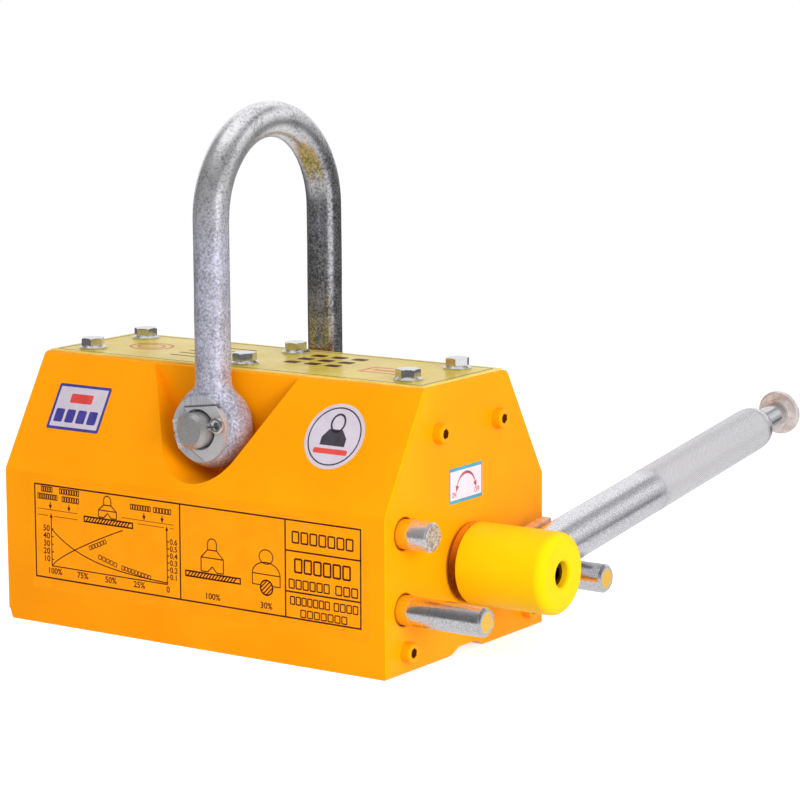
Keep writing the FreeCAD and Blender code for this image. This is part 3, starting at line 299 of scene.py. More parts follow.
def enamelled(name):
    """A new material of orange enamel, with what patterned() gives."""
    material, shader, place = patterned(name)
    coat(shader, Base_Color=enamel_colour(place), Roughness=clouded(place, 60, 0.34, 0.44),
         Specular_IOR_Level=0.25, Specular_Tint=ENAMEL_GLOSS)
    relief(shader, grain(place, 640, 2), 0.018)
    return material, shader, place


enamel = enamelled("orange_enamel")[0]
dress(enamel, "pole_front", "pole_rear")

# The magnets and spacers held between the pole blocks: nickel-plated magnet blocks over the rotor, and rolled
# stainless strips that close the bore above and below it.


def metal_finish(name, dark, light, spots, rough, depth, metallic=1.0):
    """Bare or plated metal: two tones in a fine mottle, with its roughness and relief."""
    material, shader, place = patterned(name)
    mottle = grain(place, spots, 5, 0.6)
    coat(shader, Base_Color=toned(mottle, (0.36, dark), (0.64, light)), Metallic=metallic,
         Roughness=clouded(place, spots / 5, *rough))
    relief(shader, mottle, depth)
    return material


nickel = metal_finish("magnet_nickel_plate", (0.48, 0.46, 0.41), (0.68, 0.65, 0.59), 300, (0.22, 0.34), 0.01)
stainless = metal_finish("rolled_stainless", 0.42, 0.60, 420, (0.28, 0.40), 0.01)
dress(nickel, "stator_magnets")
dress(stainless, "lower_spacer", "upper_spacer")

# The magnet rotor: two ground steel segments and four magnet blocks, closed to a round by stainless strips.
# The drive shaft, the far journal, their screws and the hub key are oiled black steel.
ground_steel = metal_finish(
    "ground_rotor_steel", (0.30, 0.30, 0.31), (0.48, 0.48, 0.49), 260, (0.26, 0.40), 0.02)
oiled = metal_finish(
    "oiled_black_steel", (0.030, 0.022, 0.018), (0.085, 0.062, 0.050), 380, (0.30, 0.46), 0.02)
dress(ground_steel, "rotor_segment_front", "rotor_segment_rear")
dress(nickel, "rotor_magnets")
dress(stainless, "rotor_strip_upper", "rotor_strip_lower")
dress(oiled, "drive_shaft", "rear_journal", "hub_rotor_screws", "rear_rotor_screws", "shaft_key")

# The bushes and thrust washers that the rotor runs on: sintered bronze, pressed into the end plates.
bronze = metal_finish("sintered_bronze", (0.36, 0.19, 0.06), (0.60, 0.38, 0.15), 900, (0.38, 0.55), 0.02)
dress(bronze, "hub_end_bush", "rear_end_bush", "hub_thrust_washer", "rear_thrust_washer")

# The two end plates: steel plates screwed to the ends of the pole blocks and sprayed with them. A dark ring
# of painted shade lies round the holes of the three pins.
# The ring of painted shade round each pin's hole: its radii in millimetres and its dark tone.
PIN_SHADE_EDGE = (8.6, 9.8)
PIN_SHADE_TONE = (0.16, 0.036, 0.001)


def stretch(value, start, end, low=0, high=1):
    """A number that runs from low to high over a stretch in millimetres."""
    return spread(value, start * MM, end * MM, low, high)


# Painted shade: the plate's enamel turns dark in a ring round the hole of each pin.
pin_shaded_plate, shader, place = enamelled("enamel_with_grime")
level_place = vector_of("MULTIPLY", place, (0, 1, 1))
unshaded = 1.0
for pin in ("stop_pin_on", "stop_pin_off", "lock_pin"):
    low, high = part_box(pin)
    middle = (0, (low.y + high.y) / 2, (low.z + high.z) / 2)
    reach = vector_of("DISTANCE", level_place, middle)
    unshaded = times(stretch(reach, *PIN_SHADE_EDGE), unshaded)
orange = shader.inputs["Base Color"].links[0].from_socket
coat(shader, Base_Color=mixed(unshaded, PIN_SHADE_TONE, orange))
dress(pin_shaded_plate, "hub_end_plate")
dress(enamel, "rear_end_plate")

# The end plates' socket head screws, four to a plate. They were sprayed with the body, so paint rounds their
# edges and runs into a small fillet on the plate. Their sockets are coloured dark brown as painted shade.
HEAD_RADIUS = 5.5
HEAD_HEIGHT = 6.0
HEAD_EDGE = 1.2
PAINT_FILLET = 0.6
SOCKET_HALF_FLATS = 2.5
SOCKET_RIM = 3.25
SOCKET_LEAD = 0.5
SOCKET_DEPTH = 3.0
SOCKET_TIP = 1.0
SOCKET_SHADE_TONE = (0.110, 0.032, 0.005)
SHANK_RADIUS = 3.0
SHANK_LENGTH = 24.9
SCREW_PLACES = ((-29, 125), (29, 125), (-60, 12), (60, 12))
SCREW_SIDES = 48


def arc(centre, radius, start, end, steps):
    """Points on an arc about a centre, from one angle to another in degrees."""
    angles = (math.radians(start + (end - start) * step / steps) for step in range(steps + 1))
    return [(centre[0] + radius * math.cos(angle), centre[1] + radius * math.sin(angle)) for angle in angles]


def hexagon_reach(half_flats, angle):
    """Distance from the middle of a hexagon to its side, in the direction of an angle."""
    return half_flats / math.cos(angle % (math.pi / 3) - math.pi / 6)


def turned(name, profile, sides):
    """A closed mesh turned about Z. The profile's radius and height corners start and end on the axis, and a
    corner with a third value of True is a hexagon of that half width."""
    work = bmesh.new()
    rings = []
    for radius, height, *hexagonal in profile:
        if radius == 0:
            rings.append([work.verts.new((0, 0, height))] * sides)
            continue
        ring = []
        for side in range(sides):
            angle = 2 * math.pi * side / sides
            reach = hexagon_reach(radius, angle) if hexagonal else radius
            ring.append(work.verts.new((reach * math.cos(angle), reach * math.sin(angle), height)))
        rings.append(ring)
    for lower, upper in zip(rings, rings[1:]):
        for side in range(sides):
            corners = (lower[side - 1], lower[side], upper[side], upper[side - 1])
            work.faces.new(list(dict.fromkeys(corners)))
    bmesh.ops.recalc_face_normals(work, faces=work.faces)
    return meshed(work, name)


def softened(mesh, angle=30):
    """Smooth shading with the edges over an angle kept crisp."""
    mesh.shade_smooth()
    mesh.set_sharp_from_angle(angle=math.radians(angle))
    return mesh


def tree_of(name, **inputs):
    """A geometry tree with these named inputs: the tree, its inputs and the socket that takes the result."""
    tree = bpy.data.node_groups.new(name, "GeometryNodeTree")
    for label, kind in {"Geometry": "Geometry", **inputs}.items():
        tree.interface.new_socket(label.replace("_", " "), in_out="INPUT", socket_type="NodeSocket" + kind)
    tree.interface.new_socket("Geometry", in_out="OUTPUT", socket_type="NodeSocketGeometry")
    return tree, node(tree, "NodeGroupInput").outputs, node(tree, "NodeGroupOutput").inputs[0]


def closed(geometry, given, result):
    """End a geometry tree: instances made real, and its finish set."""
    tree = geometry.id_data
    solid = made(tree, "GeometryNodeRealizeInstances", geometry)
    feed(result, made(tree, "GeometryNodeSetMaterial", solid, None, given["Finish"]))


def baked(piece):
    """The mesh of a piece with its modifiers applied."""
    graph = bpy.context.evaluated_depsgraph_get()
    return bpy.data.meshes.new_from_object(piece.evaluated_get(graph), preserve_all_data_layers=True,
                                           depsgraph=graph)


def grown(name, tree, start, **values):
    """The plain mesh that a geometry tree makes from a starting mesh and values for its inputs."""
    holder = shown(name, start)
    modifier = holder.modifiers.new("form", "NODES")
    modifier.node_group = tree
    for item in tree.interface.items_tree:
        label = item.name.replace(" ", "_")
        if item.in_out == "INPUT" and label in values:
            modifier[item.identifier] = values[label]
    mesh = baked(holder)
    bpy.data.objects.remove(holder)
    mesh.name = name
    return mesh


def points_mesh(name, points):
    """A mesh of loose points."""
    mesh = bpy.data.meshes.new(name)
    mesh.from_pydata(points, [], [])
    return mesh


screw_enamel, shader, place = patterned("enamel_with_bare_sockets")
# The faces marked "bare" are the sockets, coloured dark brown as painted shade.
bare = node(shader.id_data, "ShaderNodeAttribute", attribute_name="bare").outputs["Fac"]
coat(shader, Base_Color=mixed(bare, enamel_colour(place), SOCKET_SHADE_TONE),
     Roughness=clouded(place, 90, 0.34, 0.46), Specular_Tint=ENAMEL_GLOSS)
relief(shader, grain(place, 900, 2), 0.02)

head_top = HEAD_HEIGHT - HEAD_EDGE
fillet_middle = (HEAD_RADIUS + PAINT_FILLET, PAINT_FILLET)
screw_profile = [(0, -SHANK_LENGTH), (SHANK_RADIUS, -SHANK_LENGTH), (SHANK_RADIUS, -0.05)]
screw_profile += arc(fillet_middle, PAINT_FILLET, 270, 180, 4)
screw_profile += arc((HEAD_RADIUS - HEAD_EDGE, head_top), HEAD_EDGE, 0, 90, 5)
screw_profile += [(SOCKET_RIM, HEAD_HEIGHT - 0.02), (SOCKET_HALF_FLATS, HEAD_HEIGHT - SOCKET_LEAD, True)]
socket_floor = HEAD_HEIGHT - SOCKET_DEPTH
screw_profile += [(SOCKET_HALF_FLATS, socket_floor, True), (0, socket_floor - SOCKET_TIP)]
screw_mesh = softened(turned("end_screw", screw_profile, SCREW_SIDES))
screw_mesh.transform(Matrix.Scale(MM, 4))
# Mark the socket faces that get the painted shade.
socket_shade_faces = screw_mesh.attributes.new("bare", "FLOAT", "FACE")
for face in screw_mesh.polygons:
    inside = face.center.xy.length < SOCKET_RIM * MM and 0 < face.center.z < (HEAD_HEIGHT - SOCKET_LEAD) * MM
    socket_shade_faces.data[face.index].value = 1.0 if inside else 0.0
screw_sample = shown("end_screw_sample", screw_mesh)

screws, given, result = tree_of("screws_at_places", Screw="Object", Facing="Rotation", Seed="Int",
                                Finish="Material")
sample = node(screws, "GeometryNodeObjectInfo", given["Screw"]).outputs["Geometry"]
set_up = made(screws, "GeometryNodeInstanceOnPoints", given["Geometry"], None, sample, None, None,
              given["Facing"])
turn = node(screws, "FunctionNodeRandomValue", None, None, 0.0, math.pi / 3)
feed(turn.inputs["Seed"], given["Seed"])
spin = made(screws, "ShaderNodeCombineXYZ", 0, 0, turn.outputs[1])
spin = made(screws, "FunctionNodeEulerToRotation", spin)
tightened = made(screws, "GeometryNodeRotateInstances", set_up, None, spin)
closed(tightened, given, result)

for plate, side in (("hub_end", 1), ("rear_end", -1)):
    low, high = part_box(plate + "_plate")
    plate_face = high.x if side > 0 else low.x
    places = points_mesh(plate + "_places", [(plate_face, y * MM, z * MM) for y, z in SCREW_PLACES])
    heads = grown(plate + "_socket_screws", screws, places, Screw=screw_sample, Seed=3 + side,
                  Facing=(0, side * math.pi / 2, 0), Finish=screw_enamel)
    piece = shown(heads.name, heads)
    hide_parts(plate + "_screws")
    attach(piece, "housing")
bpy.data.objects.remove(screw_sample)

# The printed sheet on the top: thin metal with a satin yellow print, held by the six bolts. The print is a
# border, panels, bars and simple figures.
SHEET_MARGIN = 3.2
SHEET_LINE = 0.7
SHEET_INK_LEVELS = (0.02, 0.05)


def print_finish(name, colour, shift, rough=0.3, sheen=0.5, tint=WHITE):
    """Ink or film that varies a little from a colour to its shift, with a fine grain and some sheen."""
    material, shader, place = patterned(name)
    cloud = grain(place, 90, 4)
    coat(shader, Base_Color=toned(cloud, (0.35, colour), (0.65, shift)),
         Roughness=clouded(place, 400, rough, rough + 0.1), Specular_IOR_Level=sheen,
         Specular_Tint=tint)
    relief(shader, grain(place, 1500, 2), 0.004)
    return material


def bar(left, bottom, right, top):
    """Outline of an upright rectangle."""
    return [(left, bottom), (right, bottom), (right, top), (left, top)]


def rounded_bar(left, bottom, right, top, radius):
    """Outline of a rectangle with round corners."""
    corners = ((right, top, 0), (left, top, 90), (left, bottom, 180), (right, bottom, 270))
    points = []
    for u, v, turn in corners:
        inward = (u - radius if u == right else u + radius, v - radius if v == top else v + radius)
        points += arc(inward, radius, turn, turn + 90, 5)
    return points


def stroke(points, width):
    """Outline of a line of a width along points."""
    sides = ([], [])
    for index, point in enumerate(points):
        before = Vector(points[max(index - 1, 0)])
        after = Vector(points[min(index + 1, len(points) - 1)])
        across = (after - before).normalized().orthogonal() * width / 2
        sides[0].append(Vector(point) + across)
        sides[1].append(Vector(point) - across)
    return sides[0] + sides[1][::-1]


def ring(u, v, radius, width, squash=1.0, start=0, end=360, steps=40):
    """Short outlines that make up a round or oval line, or a stretch of one."""
    path = [(x, v + (y - v) * squash) for x, y in arc((u, v), radius, start, end, steps)]
    return [stroke(path[index:index + 3], width) for index in range(0, steps - 1, 2)]


def inset(box, aside, inward):
    """A box made smaller by one margin at its sides and another below and above."""
    return box[0] + aside, box[1] + inward, box[2] - aside, box[3] - inward


def frame_lines(left, bottom, right, top, width):
    """Four outlines of a ruled frame."""
    inside = inset((left, bottom, right, top), width, width)
    return [bar(left, bottom, right, inside[1]), bar(left, inside[3], right, top),
            bar(left, inside[1], inside[0], inside[3]), bar(inside[2], inside[1], right, inside[3])]


def on_surface(origin, right, up):
    """The move from millimetres across, up and off a flat surface to its place on the lifter."""
    right = Vector(right).normalized()
    up = Vector(up).normalized()
    turn = Matrix((right, up, right.cross(up))).transposed().to_4x4()
    return Matrix.Translation(origin) @ turn @ Matrix.Scale(MM, 4)


def printed(name, outlines, surface, levels, material, extras=(), body="housing"):
    """Ink or film as one piece of thin closed plates on a surface, with meshes laid beside them."""
    work = bmesh.new()
    for outline in outlines:
        lower, upper = ([work.verts.new((*point[:2], level)) for point in outline] for level in levels)
        work.faces.new(upper)
        work.faces.new(lower[::-1])
        for index in range(len(outline)):
            work.faces.new((lower[index - 1], lower[index], upper[index], upper[index - 1]))
    for mesh in extras:
        work.from_mesh(mesh)
    bmesh.ops.recalc_face_normals(work, faces=work.faces)
    mesh = meshed(work, name)
    mesh.transform(surface)
    mesh.materials.append(material)
    piece = shown(name, mesh)
    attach(piece, body)
    return piece


sheet, shader, place = patterned("yellow_printed_sheet")
cloud = grain(place, 30, 4)
coat(shader, Base_Color=toned(cloud, (0.35, (0.74, 0.54, 0.06)), (0.65, (0.84, 0.66, 0.13))),
     Roughness=clouded(place, 50, 0.22, 0.32), Specular_IOR_Level=0.14)
relief(shader, grain(place, 25, 1), 0.06)
dress(sheet, "top_cover")

ink = print_finish("brown_black_ink", (0.050, 0.006, 0.004), (0.080, 0.010, 0.006), 0.4, 0.12)
red_ink = print_finish("red_ink", (0.62, 0.040, 0.035), (0.72, 0.070, 0.055))
sheet_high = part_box("top_cover")[1]
sheet_top = on_surface((0, 0, sheet_high.z), (1, 0, 0), (0, 1, 0))
half_length = sheet_high.x / MM - SHEET_MARGIN
half_width = sheet_high.y / MM - SHEET_MARGIN
sheet_ink = frame_lines(-half_length, -half_width, half_length, half_width, SHEET_LINE)
for row in range(3):
    for column in range(3):
        left = 14 + 14 * column
        sheet_ink.append(rounded_bar(left, -8 + 13 * row, left + 9, -1 + 13 * row, 1.5))
for row in range(5):
    sheet_ink.append(rounded_bar(-58, -19 + 9 * row, -58 + 40 - 5 * (row % 3), -17.4 + 9 * row, 0.8))
printed("top_sheet_ink", sheet_ink, sheet_top, SHEET_INK_LEVELS, ink)
sheet_red = ring(-86, 0, 13, 1.6, 0.85) + ring(-86, 0, 8, 1.2, 0.85)
sheet_red += frame_lines(68, -12, 94, 5, 1.6) + [rounded_bar(73, -5, 89, -2, 1.0)]
printed("top_sheet_red", sheet_red, sheet_top, SHEET_INK_LEVELS, red_ink)

# The top bolts: six hexagon flange bolts, forged and bright zinc plated. They hold the printed sheet down.
zinc = metal_finish("bright_zinc", (0.60, 0.60, 0.64), (0.80, 0.80, 0.83), 1500, (0.10, 0.20), 0.006)
dress(zinc, "top_bolts")

# The stop pins and the lock pin: zinc-plated round steel, pressed into the lever-end plate. The spray reached
# their feet, and a dab of paint marks the ends of the two stop pins.
FOOT_PAINT = 7.0
FOOT_BLUR = 0.5
DAB_RADIUS = 5.4
PAINT_BLUR = 0.3
PAINT_WANDER = 0.9


def plus(first, second):
    """A sum of two numbers in a node tree."""
    return reckon("ADD", first, second)


def pin_finish(name, pin, dabbed):
    """Zinc with enamel on the pin's foot. Its end is dabbed with paint, or else sawn and left bare."""
    low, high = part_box(pin)
    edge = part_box("hub_end_plate")[1].x / MM + FOOT_PAINT
    material, shader, place = patterned(name)
    along = axes(place)["X"]
    ragged = clouded(place, 240, -PAINT_WANDER * MM, PAINT_WANDER * MM, 4)
    mask = stretch(plus(along, ragged), edge - PAINT_BLUR, edge + FOOT_BLUR, 1, 0)
    mottle = grain(place, 1500, 4, 0.6)
    plating = toned(mottle, (0.34, (0.52, 0.52, 0.55)), (0.62, (0.80, 0.79, 0.81)))
    colour = mixed(mask, plating, enamel_colour(place))
    if dabbed:
        end = (high.x, (low.y + high.y) / 2, (low.z + high.z) / 2)
        reach = plus(vector_of("DISTANCE", place, end), ragged)
        dab = stretch(reach, DAB_RADIUS - PAINT_BLUR, DAB_RADIUS + PAINT_BLUR, 1, 0)
        ending = toned(mottle, (0.34, (0.50, 0.27, 0.02)), (0.62, (0.72, 0.44, 0.06)))
    else:
        dab = stretch(along, high.x / MM - 0.3, high.x / MM - 0.1, 0, 0.85)
        sawn = grain(place, 700, 4)
        ending = toned(sawn, (0.40, (0.12, 0.09, 0.08)), (0.60, (0.50, 0.40, 0.30)))
    mask = reckon("MAXIMUM", mask, dab)
    coat(shader, Base_Color=mixed(dab, colour, ending),
         Metallic=mixed(mask, 1.0 if dabbed else 0.80, 0.0),
         Roughness=mixed(mask, clouded(place, 150, 0.16, 0.30), 0.40))
    relief(shader, mottle, 0.01)
    return material


for pin, dabbed in (("stop_pin_on", True), ("stop_pin_off", True), ("lock_pin", False)):
    dress(pin_finish(pin + "_plating", pin, dabbed), pin)

# The hub: a turned steel hub keyed to the drive shaft and held by a socket screw, inside a sleeve moulded in
# soft yellow plastic that covers it for the hand. Some of the body's paint fell on the hub's upper side.
OVERSPRAY_HEIGHTS = (50.0, 78.0)

moulded, shader, place = patterned("moulded_yellow")
cloud = grain(place, 20, 3)
coat(shader, Base_Color=toned(cloud, (0.35, (0.93, 0.55, 0.003)), (0.65, (0.97, 0.60, 0.005))),
     Roughness=clouded(place, 130, 0.42, 0.52), Specular_IOR_Level=0.22,
     Specular_Tint=(1.0, 0.85, 0.05, 1))
relief(shader, grain(place, 1400, 2), 0.010)
dress(moulded, "hub_sleeve")
browned, shader, place = patterned("browned_hub_steel")
height = axes(place)["Z"]
overspray = stretch(height, *OVERSPRAY_HEIGHTS)
rust = toned(grain(place, 380, 5, 0.6), (0.36, (0.10, 0.035, 0.006)), (0.64, (0.20, 0.080, 0.016)))
coat(shader, Base_Color=mixed(overspray, rust, enamel_colour(place)),
     Metallic=mixed(overspray, 1.0, 0.0), Roughness=clouded(place, 76, 0.40, 0.55))
dress(browned, "hub")
dress(oiled, "hub_screw")

# The lever: a zinc-plated round bar screwed into the hub, bored for the lock rod and slotted for its tongue.
# Its outer half is rolled with a fine diamond knurl for the grip, whose grooves carry a painted shade.
LEVER_RADIUS = 13.0
LEVER_STUD_RADIUS = 8.0
LEVER_STUD_START = 7.0
LEVER_SEAT = 14.5
GRIP_START = 139.0
GRIP_END = 267.6
LEVER_END = 277.0
LEVER_END_DROP = 3.0
GUIDE_HOLE_RADIUS = 9.08
GUIDE_START = 259.0
SPRING_BORE_RADIUS = 8.0
SPRING_SEAT = 60.0
ROD_BORE_RADIUS = 5.06
ROD_BORE_START = 26.0
KNURL_DIAMONDS = 70
KNURL_ROWS = 84
KNURL_DEPTH = 0.36
KNURL_RUN_IN = 2.5
GRIP_FADE = 8.0
END_SHARES = (0.1, 0.25, 0.4, 0.55, 0.7, 0.85, 1.0)
TONGUE_SLOT = {"reach": 40.0, "half_height": 2.9, "start": 31.55, "end": 53.35}
TONGUE_PIN_HOLE = {"radius": 2.0, "station": 46.95}


def surfaced(piece, material):
    """Give a new piece this finish alone."""
    piece.data.materials.clear()
    piece.data.materials.append(material)


joints = {joint["name"]: joint for joint in frame["joints"]}
lever_joint = joints["lock_press"]
lever_low, lever_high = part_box("lever")
lever_foot = Vector(((lever_low.x + lever_high.x) / 2, *joints["handle_turn"]["pos_m"][1:]))
lever_along = -Vector(lever_joint["axis"]).normalized()
lever_down = lever_along.cross(Vector((1, 0, 0)))
lever_turn = Matrix((Vector((1, 0, 0)), lever_down, lever_along)).transposed().to_4x4()
in_lever = Matrix.Translation(lever_foot) @ lever_turn @ Matrix.Scale(MM, 4)

knurl, given, result = tree_of("diamond_knurl", Start="Float", End="Float", Radius="Float", Depth="Float",
                               Diamonds="Int", Rows="Int", Run_In="Float", Finish="Material")
steps_along = times(given["Rows"], 2)
steps_round = times(given["Diamonds"], 2)
net = made(knurl, "GeometryNodeMeshGrid", 1.0, 1.0, plus(steps_along, 1), plus(steps_round, 1))
face_number = made(knurl, "GeometryNodeInputIndex")
face_row = reckon("FLOOR", reckon("DIVIDE", face_number, steps_round))
odd_face = reckon("FLOORED_MODULO", plus(face_row, face_number), 2)
even_face = reckon("SUBTRACT", 1.0, odd_face)
net = made(knurl, "GeometryNodeTriangulate", net, even_face, quad_method="FIXED")
net = made(knurl, "GeometryNodeTriangulate", net, None, quad_method="FIXED_ALTERNATE")
spot = axes(made(knurl, "GeometryNodeInputPosition"))
share_along = plus(spot["X"], 0.5)
share_round = plus(spot["Y"], 0.5)
step_along = reckon("ROUND", times(share_along, steps_along))
step_round = reckon("ROUND", times(share_round, steps_round))
peak = reckon("FLOORED_MODULO", plus(step_along, step_round), 2)
length = reckon("SUBTRACT", given["End"], given["Start"])
from_start = times(share_along, length)
from_end = reckon("SUBTRACT", length, from_start)
edge_room = reckon("DIVIDE", reckon("MINIMUM", from_start, from_end), given["Run In"])
edge_room = reckon("MINIMUM", edge_room, 1.0)
rise = times(times(peak, given["Depth"]), edge_room)
reach = plus(given["Radius"], rise)
angle = times(share_round, -2 * math.pi)
wrapped = made(knurl, "ShaderNodeCombineXYZ", times(reach, reckon("COSINE", angle)),
               times(reach, reckon("SINE", angle)), plus(given["Start"], from_start))
grip = made(knurl, "GeometryNodeSetPosition", net, None, wrapped)
closed(grip, given, result)

lever_zinc, shader, place = patterned("lever_zinc")
mottle = grain(place, 1200, 5, 0.6)
smooth = toned(mottle, (0.38, (0.58, 0.57, 0.62)), (0.58, (0.96, 0.95, 0.99)))
from_foot = vector_of("SUBTRACT", place, lever_foot)
spoke = vector_of("LENGTH", vector_of("CROSS_PRODUCT", from_foot, lever_along))
# Painted shade: the knurl's grooves are coloured darker than its crests.
crest = stretch(spoke, LEVER_RADIUS, LEVER_RADIUS + KNURL_DEPTH)
knurl_with_groove_shade = toned(crest, (0.10, (0.50, 0.49, 0.51)), (0.80, (0.98, 0.97, 1.00)))
station = vector_of("DOT_PRODUCT", from_foot, lever_along)
gripped = stretch(station, GRIP_START - GRIP_FADE, GRIP_START + GRIP_FADE)
gripped = times(gripped, stretch(station, GRIP_END, GRIP_END + 1, 1, 0))
coat(shader, Base_Color=mixed(gripped, smooth, knurl_with_groove_shade), Metallic=mixed(gripped, 1.0, 0.55),
     Roughness=mixed(gripped, spread(mottle, 0.3, 0.7, 0.30, 0.18), 0.36))
relief(shader, grain(place, 1100, 4, 0.6), 0.10)
knurled = grown("knurled_grip", knurl, points_mesh("grip_start", [(0, 0, 0)]), Start=GRIP_START, End=GRIP_END,
                Radius=LEVER_RADIUS, Depth=KNURL_DEPTH, Diamonds=KNURL_DIAMONDS, Rows=KNURL_ROWS,
                Run_In=KNURL_RUN_IN, Finish=lever_zinc)
bar_profile = [(0, LEVER_STUD_START), (LEVER_STUD_RADIUS, LEVER_STUD_START), (LEVER_STUD_RADIUS, LEVER_SEAT)]
bar_profile += [(LEVER_RADIUS, LEVER_SEAT), (LEVER_RADIUS, GRIP_START), (LEVER_RADIUS, GRIP_END)]
for share in END_SHARES:
    drop = LEVER_END_DROP * share ** 2
    bar_profile.append((LEVER_RADIUS - drop, GRIP_END + (LEVER_END - GRIP_END) * share))
bar_profile += [(GUIDE_HOLE_RADIUS, LEVER_END), (GUIDE_HOLE_RADIUS, GUIDE_START)]
bar_profile += [(SPRING_BORE_RADIUS, GUIDE_START), (SPRING_BORE_RADIUS, SPRING_SEAT)]
bar_profile += [(ROD_BORE_RADIUS, SPRING_SEAT), (ROD_BORE_RADIUS, ROD_BORE_START), (0, ROD_BORE_START)]
plain_bar = turned("lever_bar", bar_profile, 2 * KNURL_DIAMONDS)
work = bmesh.new()
work.from_mesh(plain_bar)
between = (GRIP_START + GRIP_END) / 2
plain_grip = [face for face in work.faces if abs(face.calc_center_median().z - between) < 1
              and face.calc_center_median().xy.length > LEVER_RADIUS * 0.9]
bmesh.ops.delete(work, geom=plain_grip, context="FACES_ONLY")
work.from_mesh(knurled)
bmesh.ops.remove_doubles(work, verts=work.verts, dist=0.01)
bmesh.ops.recalc_face_normals(work, faces=work.faces)
lever_mesh = meshed(work, "lever_with_grip")
lever_mesh.transform(in_lever)
lever = shown("lever_with_grip", lever_mesh)

slot_box = bmesh.new()
bmesh.ops.create_cube(slot_box, size=1.0)
slot_mesh = meshed(slot_box, "tongue_slot")
reach, half_height, start, end = TONGUE_SLOT.values()
slot_mesh.transform(Matrix.Diagonal((reach, 2 * half_height, end - start, 1)))
slot_mesh.transform(in_lever @ Matrix.Translation((-reach / 2, 0, (start + end) / 2)))
hole_radius, hole_station = TONGUE_PIN_HOLE.values()
hole_profile = [(0, 0), (hole_radius, 0), (hole_radius, 2 * LEVER_RADIUS), (0, 2 * LEVER_RADIUS)]
hole_mesh = turned("pin_hole", hole_profile, 32)
hole_mesh.transform(Matrix.Rotation(-math.pi / 2, 4, "X"))
hole_mesh.transform(in_lever @ Matrix.Translation((0, 0, hole_station)))
cutters = [shown("tongue_slot", slot_mesh), shown("pin_hole", hole_mesh)]
for cutter in cutters:
    cut = lever.modifiers.new("cut", "BOOLEAN")
    cut.operation = "DIFFERENCE"
    cut.solver = "EXACT"
    cut.object = cutter
lever_mesh = baked(lever)
lever.modifiers.clear()
for cutter in cutters:
    bpy.data.objects.remove(cutter)
lever.data = softened(lever_mesh, 24)
surfaced(lever, lever_zinc)
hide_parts("lever")
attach(lever, "rotor")
dress(bronze, "lever_guide")


def merged(source, name):
    """A piece of its own with the mesh of a frame piece, its doubles merged."""
    work = bmesh.new()
    work.from_mesh(source.data)
    bmesh.ops.remove_doubles(work, verts=work.verts, dist=0.002 * MM)
    return shown(name, meshed(work, name))


polished = metal_finish(
    "polished_button_zinc", (0.62, 0.54, 0.51), (0.84, 0.77, 0.74), 160, (0.18, 0.28), 0.01, 0.55)
tongue_zinc = metal_finish(
    "tongue_zinc", (0.76, 0.44, 0.26), (0.90, 0.62, 0.46), 300, (0.26, 0.38), 0.02, 0.6)
wire = metal_finish("drawn_spring_wire", (0.26, 0.26, 0.28), (0.44, 0.44, 0.46), 700, (0.24, 0.36), 0.01)
dress(zinc, "lock_rod")
dress(polished, "lock_button")
dress(tongue_zinc, "lock_tongue")
dress(oiled, "tongue_pin")
spring = merged(frame["nodes"]["lock_spring"], "coiled_lock_spring")
spring.data.shade_smooth()
surfaced(spring, wire)
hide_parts("lock_spring")
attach(spring, "rotor")
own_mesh(spring)

# The shackle: a forged bow with two flattened eyes, hot galvanised. The zinc coat is mottled and pitted, and
# the forging isn't quite even. Its rear leg is coloured darker as painted shade, and the top of its bow
# lighter as a painted highlight. It swings on a pin across the body.
FORGE_VOXEL = 1.0
FORGE_ROUNDS = 6
FORGE_WAVE = 0.16
FORGE_WAVE_SIZE = 22.0
REAR_SHADE_DEPTHS = (5.0, 48.0)
BOW_HIGHLIGHT_HEIGHTS = (215.0, 255.0)


def forged(source, name):
    """A smooth, slightly uneven copy of a frame piece: merged, filled with an even mesh and relaxed."""
    piece = merged(source, name)
    even = piece.modifiers.new("even", "REMESH")
    even.mode = "VOXEL"
    even.voxel_size = FORGE_VOXEL * MM
    relax = piece.modifiers.new("relax", "SMOOTH")
    relax.factor = 0.5
    relax.iterations = FORGE_ROUNDS
    mesh = baked(piece)
    piece.modifiers.clear()
    moves = [vertex.normal * noise.noise(vertex.co / (FORGE_WAVE_SIZE * MM)) for vertex in mesh.vertices]
    for vertex, move in zip(mesh.vertices, moves):
        vertex.co += move * FORGE_WAVE * MM
    mesh.shade_smooth()
    piece.data = mesh
    return piece


galvanised, shader, place = patterned("hot_galvanised")
speck = grain(place, 700, 5, 0.7)
patchy = plus(speck, clouded(place, 80, -0.07, 0.07))
spot = axes(place)
# Painted shade: the rear leg is coloured darker than the front leg.
rear_shade = stretch(spot["Y"], *REAR_SHADE_DEPTHS)
pale = toned(patchy, (0.34, (0.24, 0.24, 0.30)), (0.62, (0.70, 0.70, 0.85)))
# Painted highlight: the top of the bow is coloured lighter, up to white.
bright = toned(patchy, (0.33, (0.46, 0.46, 0.52)), (0.50, (1.00, 1.00, 1.00)))
shaded_rear_tone = toned(patchy, (0.40, (0.16, 0.16, 0.17)), (0.60, (0.62, 0.62, 0.66)))
upper = stretch(spot["Z"], *BOW_HIGHLIGHT_HEIGHTS, 0, 0.85)
shiny = reckon("MAXIMUM", rear_shade, upper)
coat(shader, Base_Color=mixed(rear_shade, mixed(upper, pale, bright), shaded_rear_tone), Metallic=mixed(shiny, 0.50, 1.0),
     Roughness=mixed(shiny, spread(speck, 0.3, 0.7, 0.46, 0.34), 0.26))
relief(shader, speck, 0.03)
shackle = forged(frame["nodes"]["shackle_bow"], "forged_shackle")
surfaced(shackle, galvanised)
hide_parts("shackle_bow")
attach(shackle, "shackle")

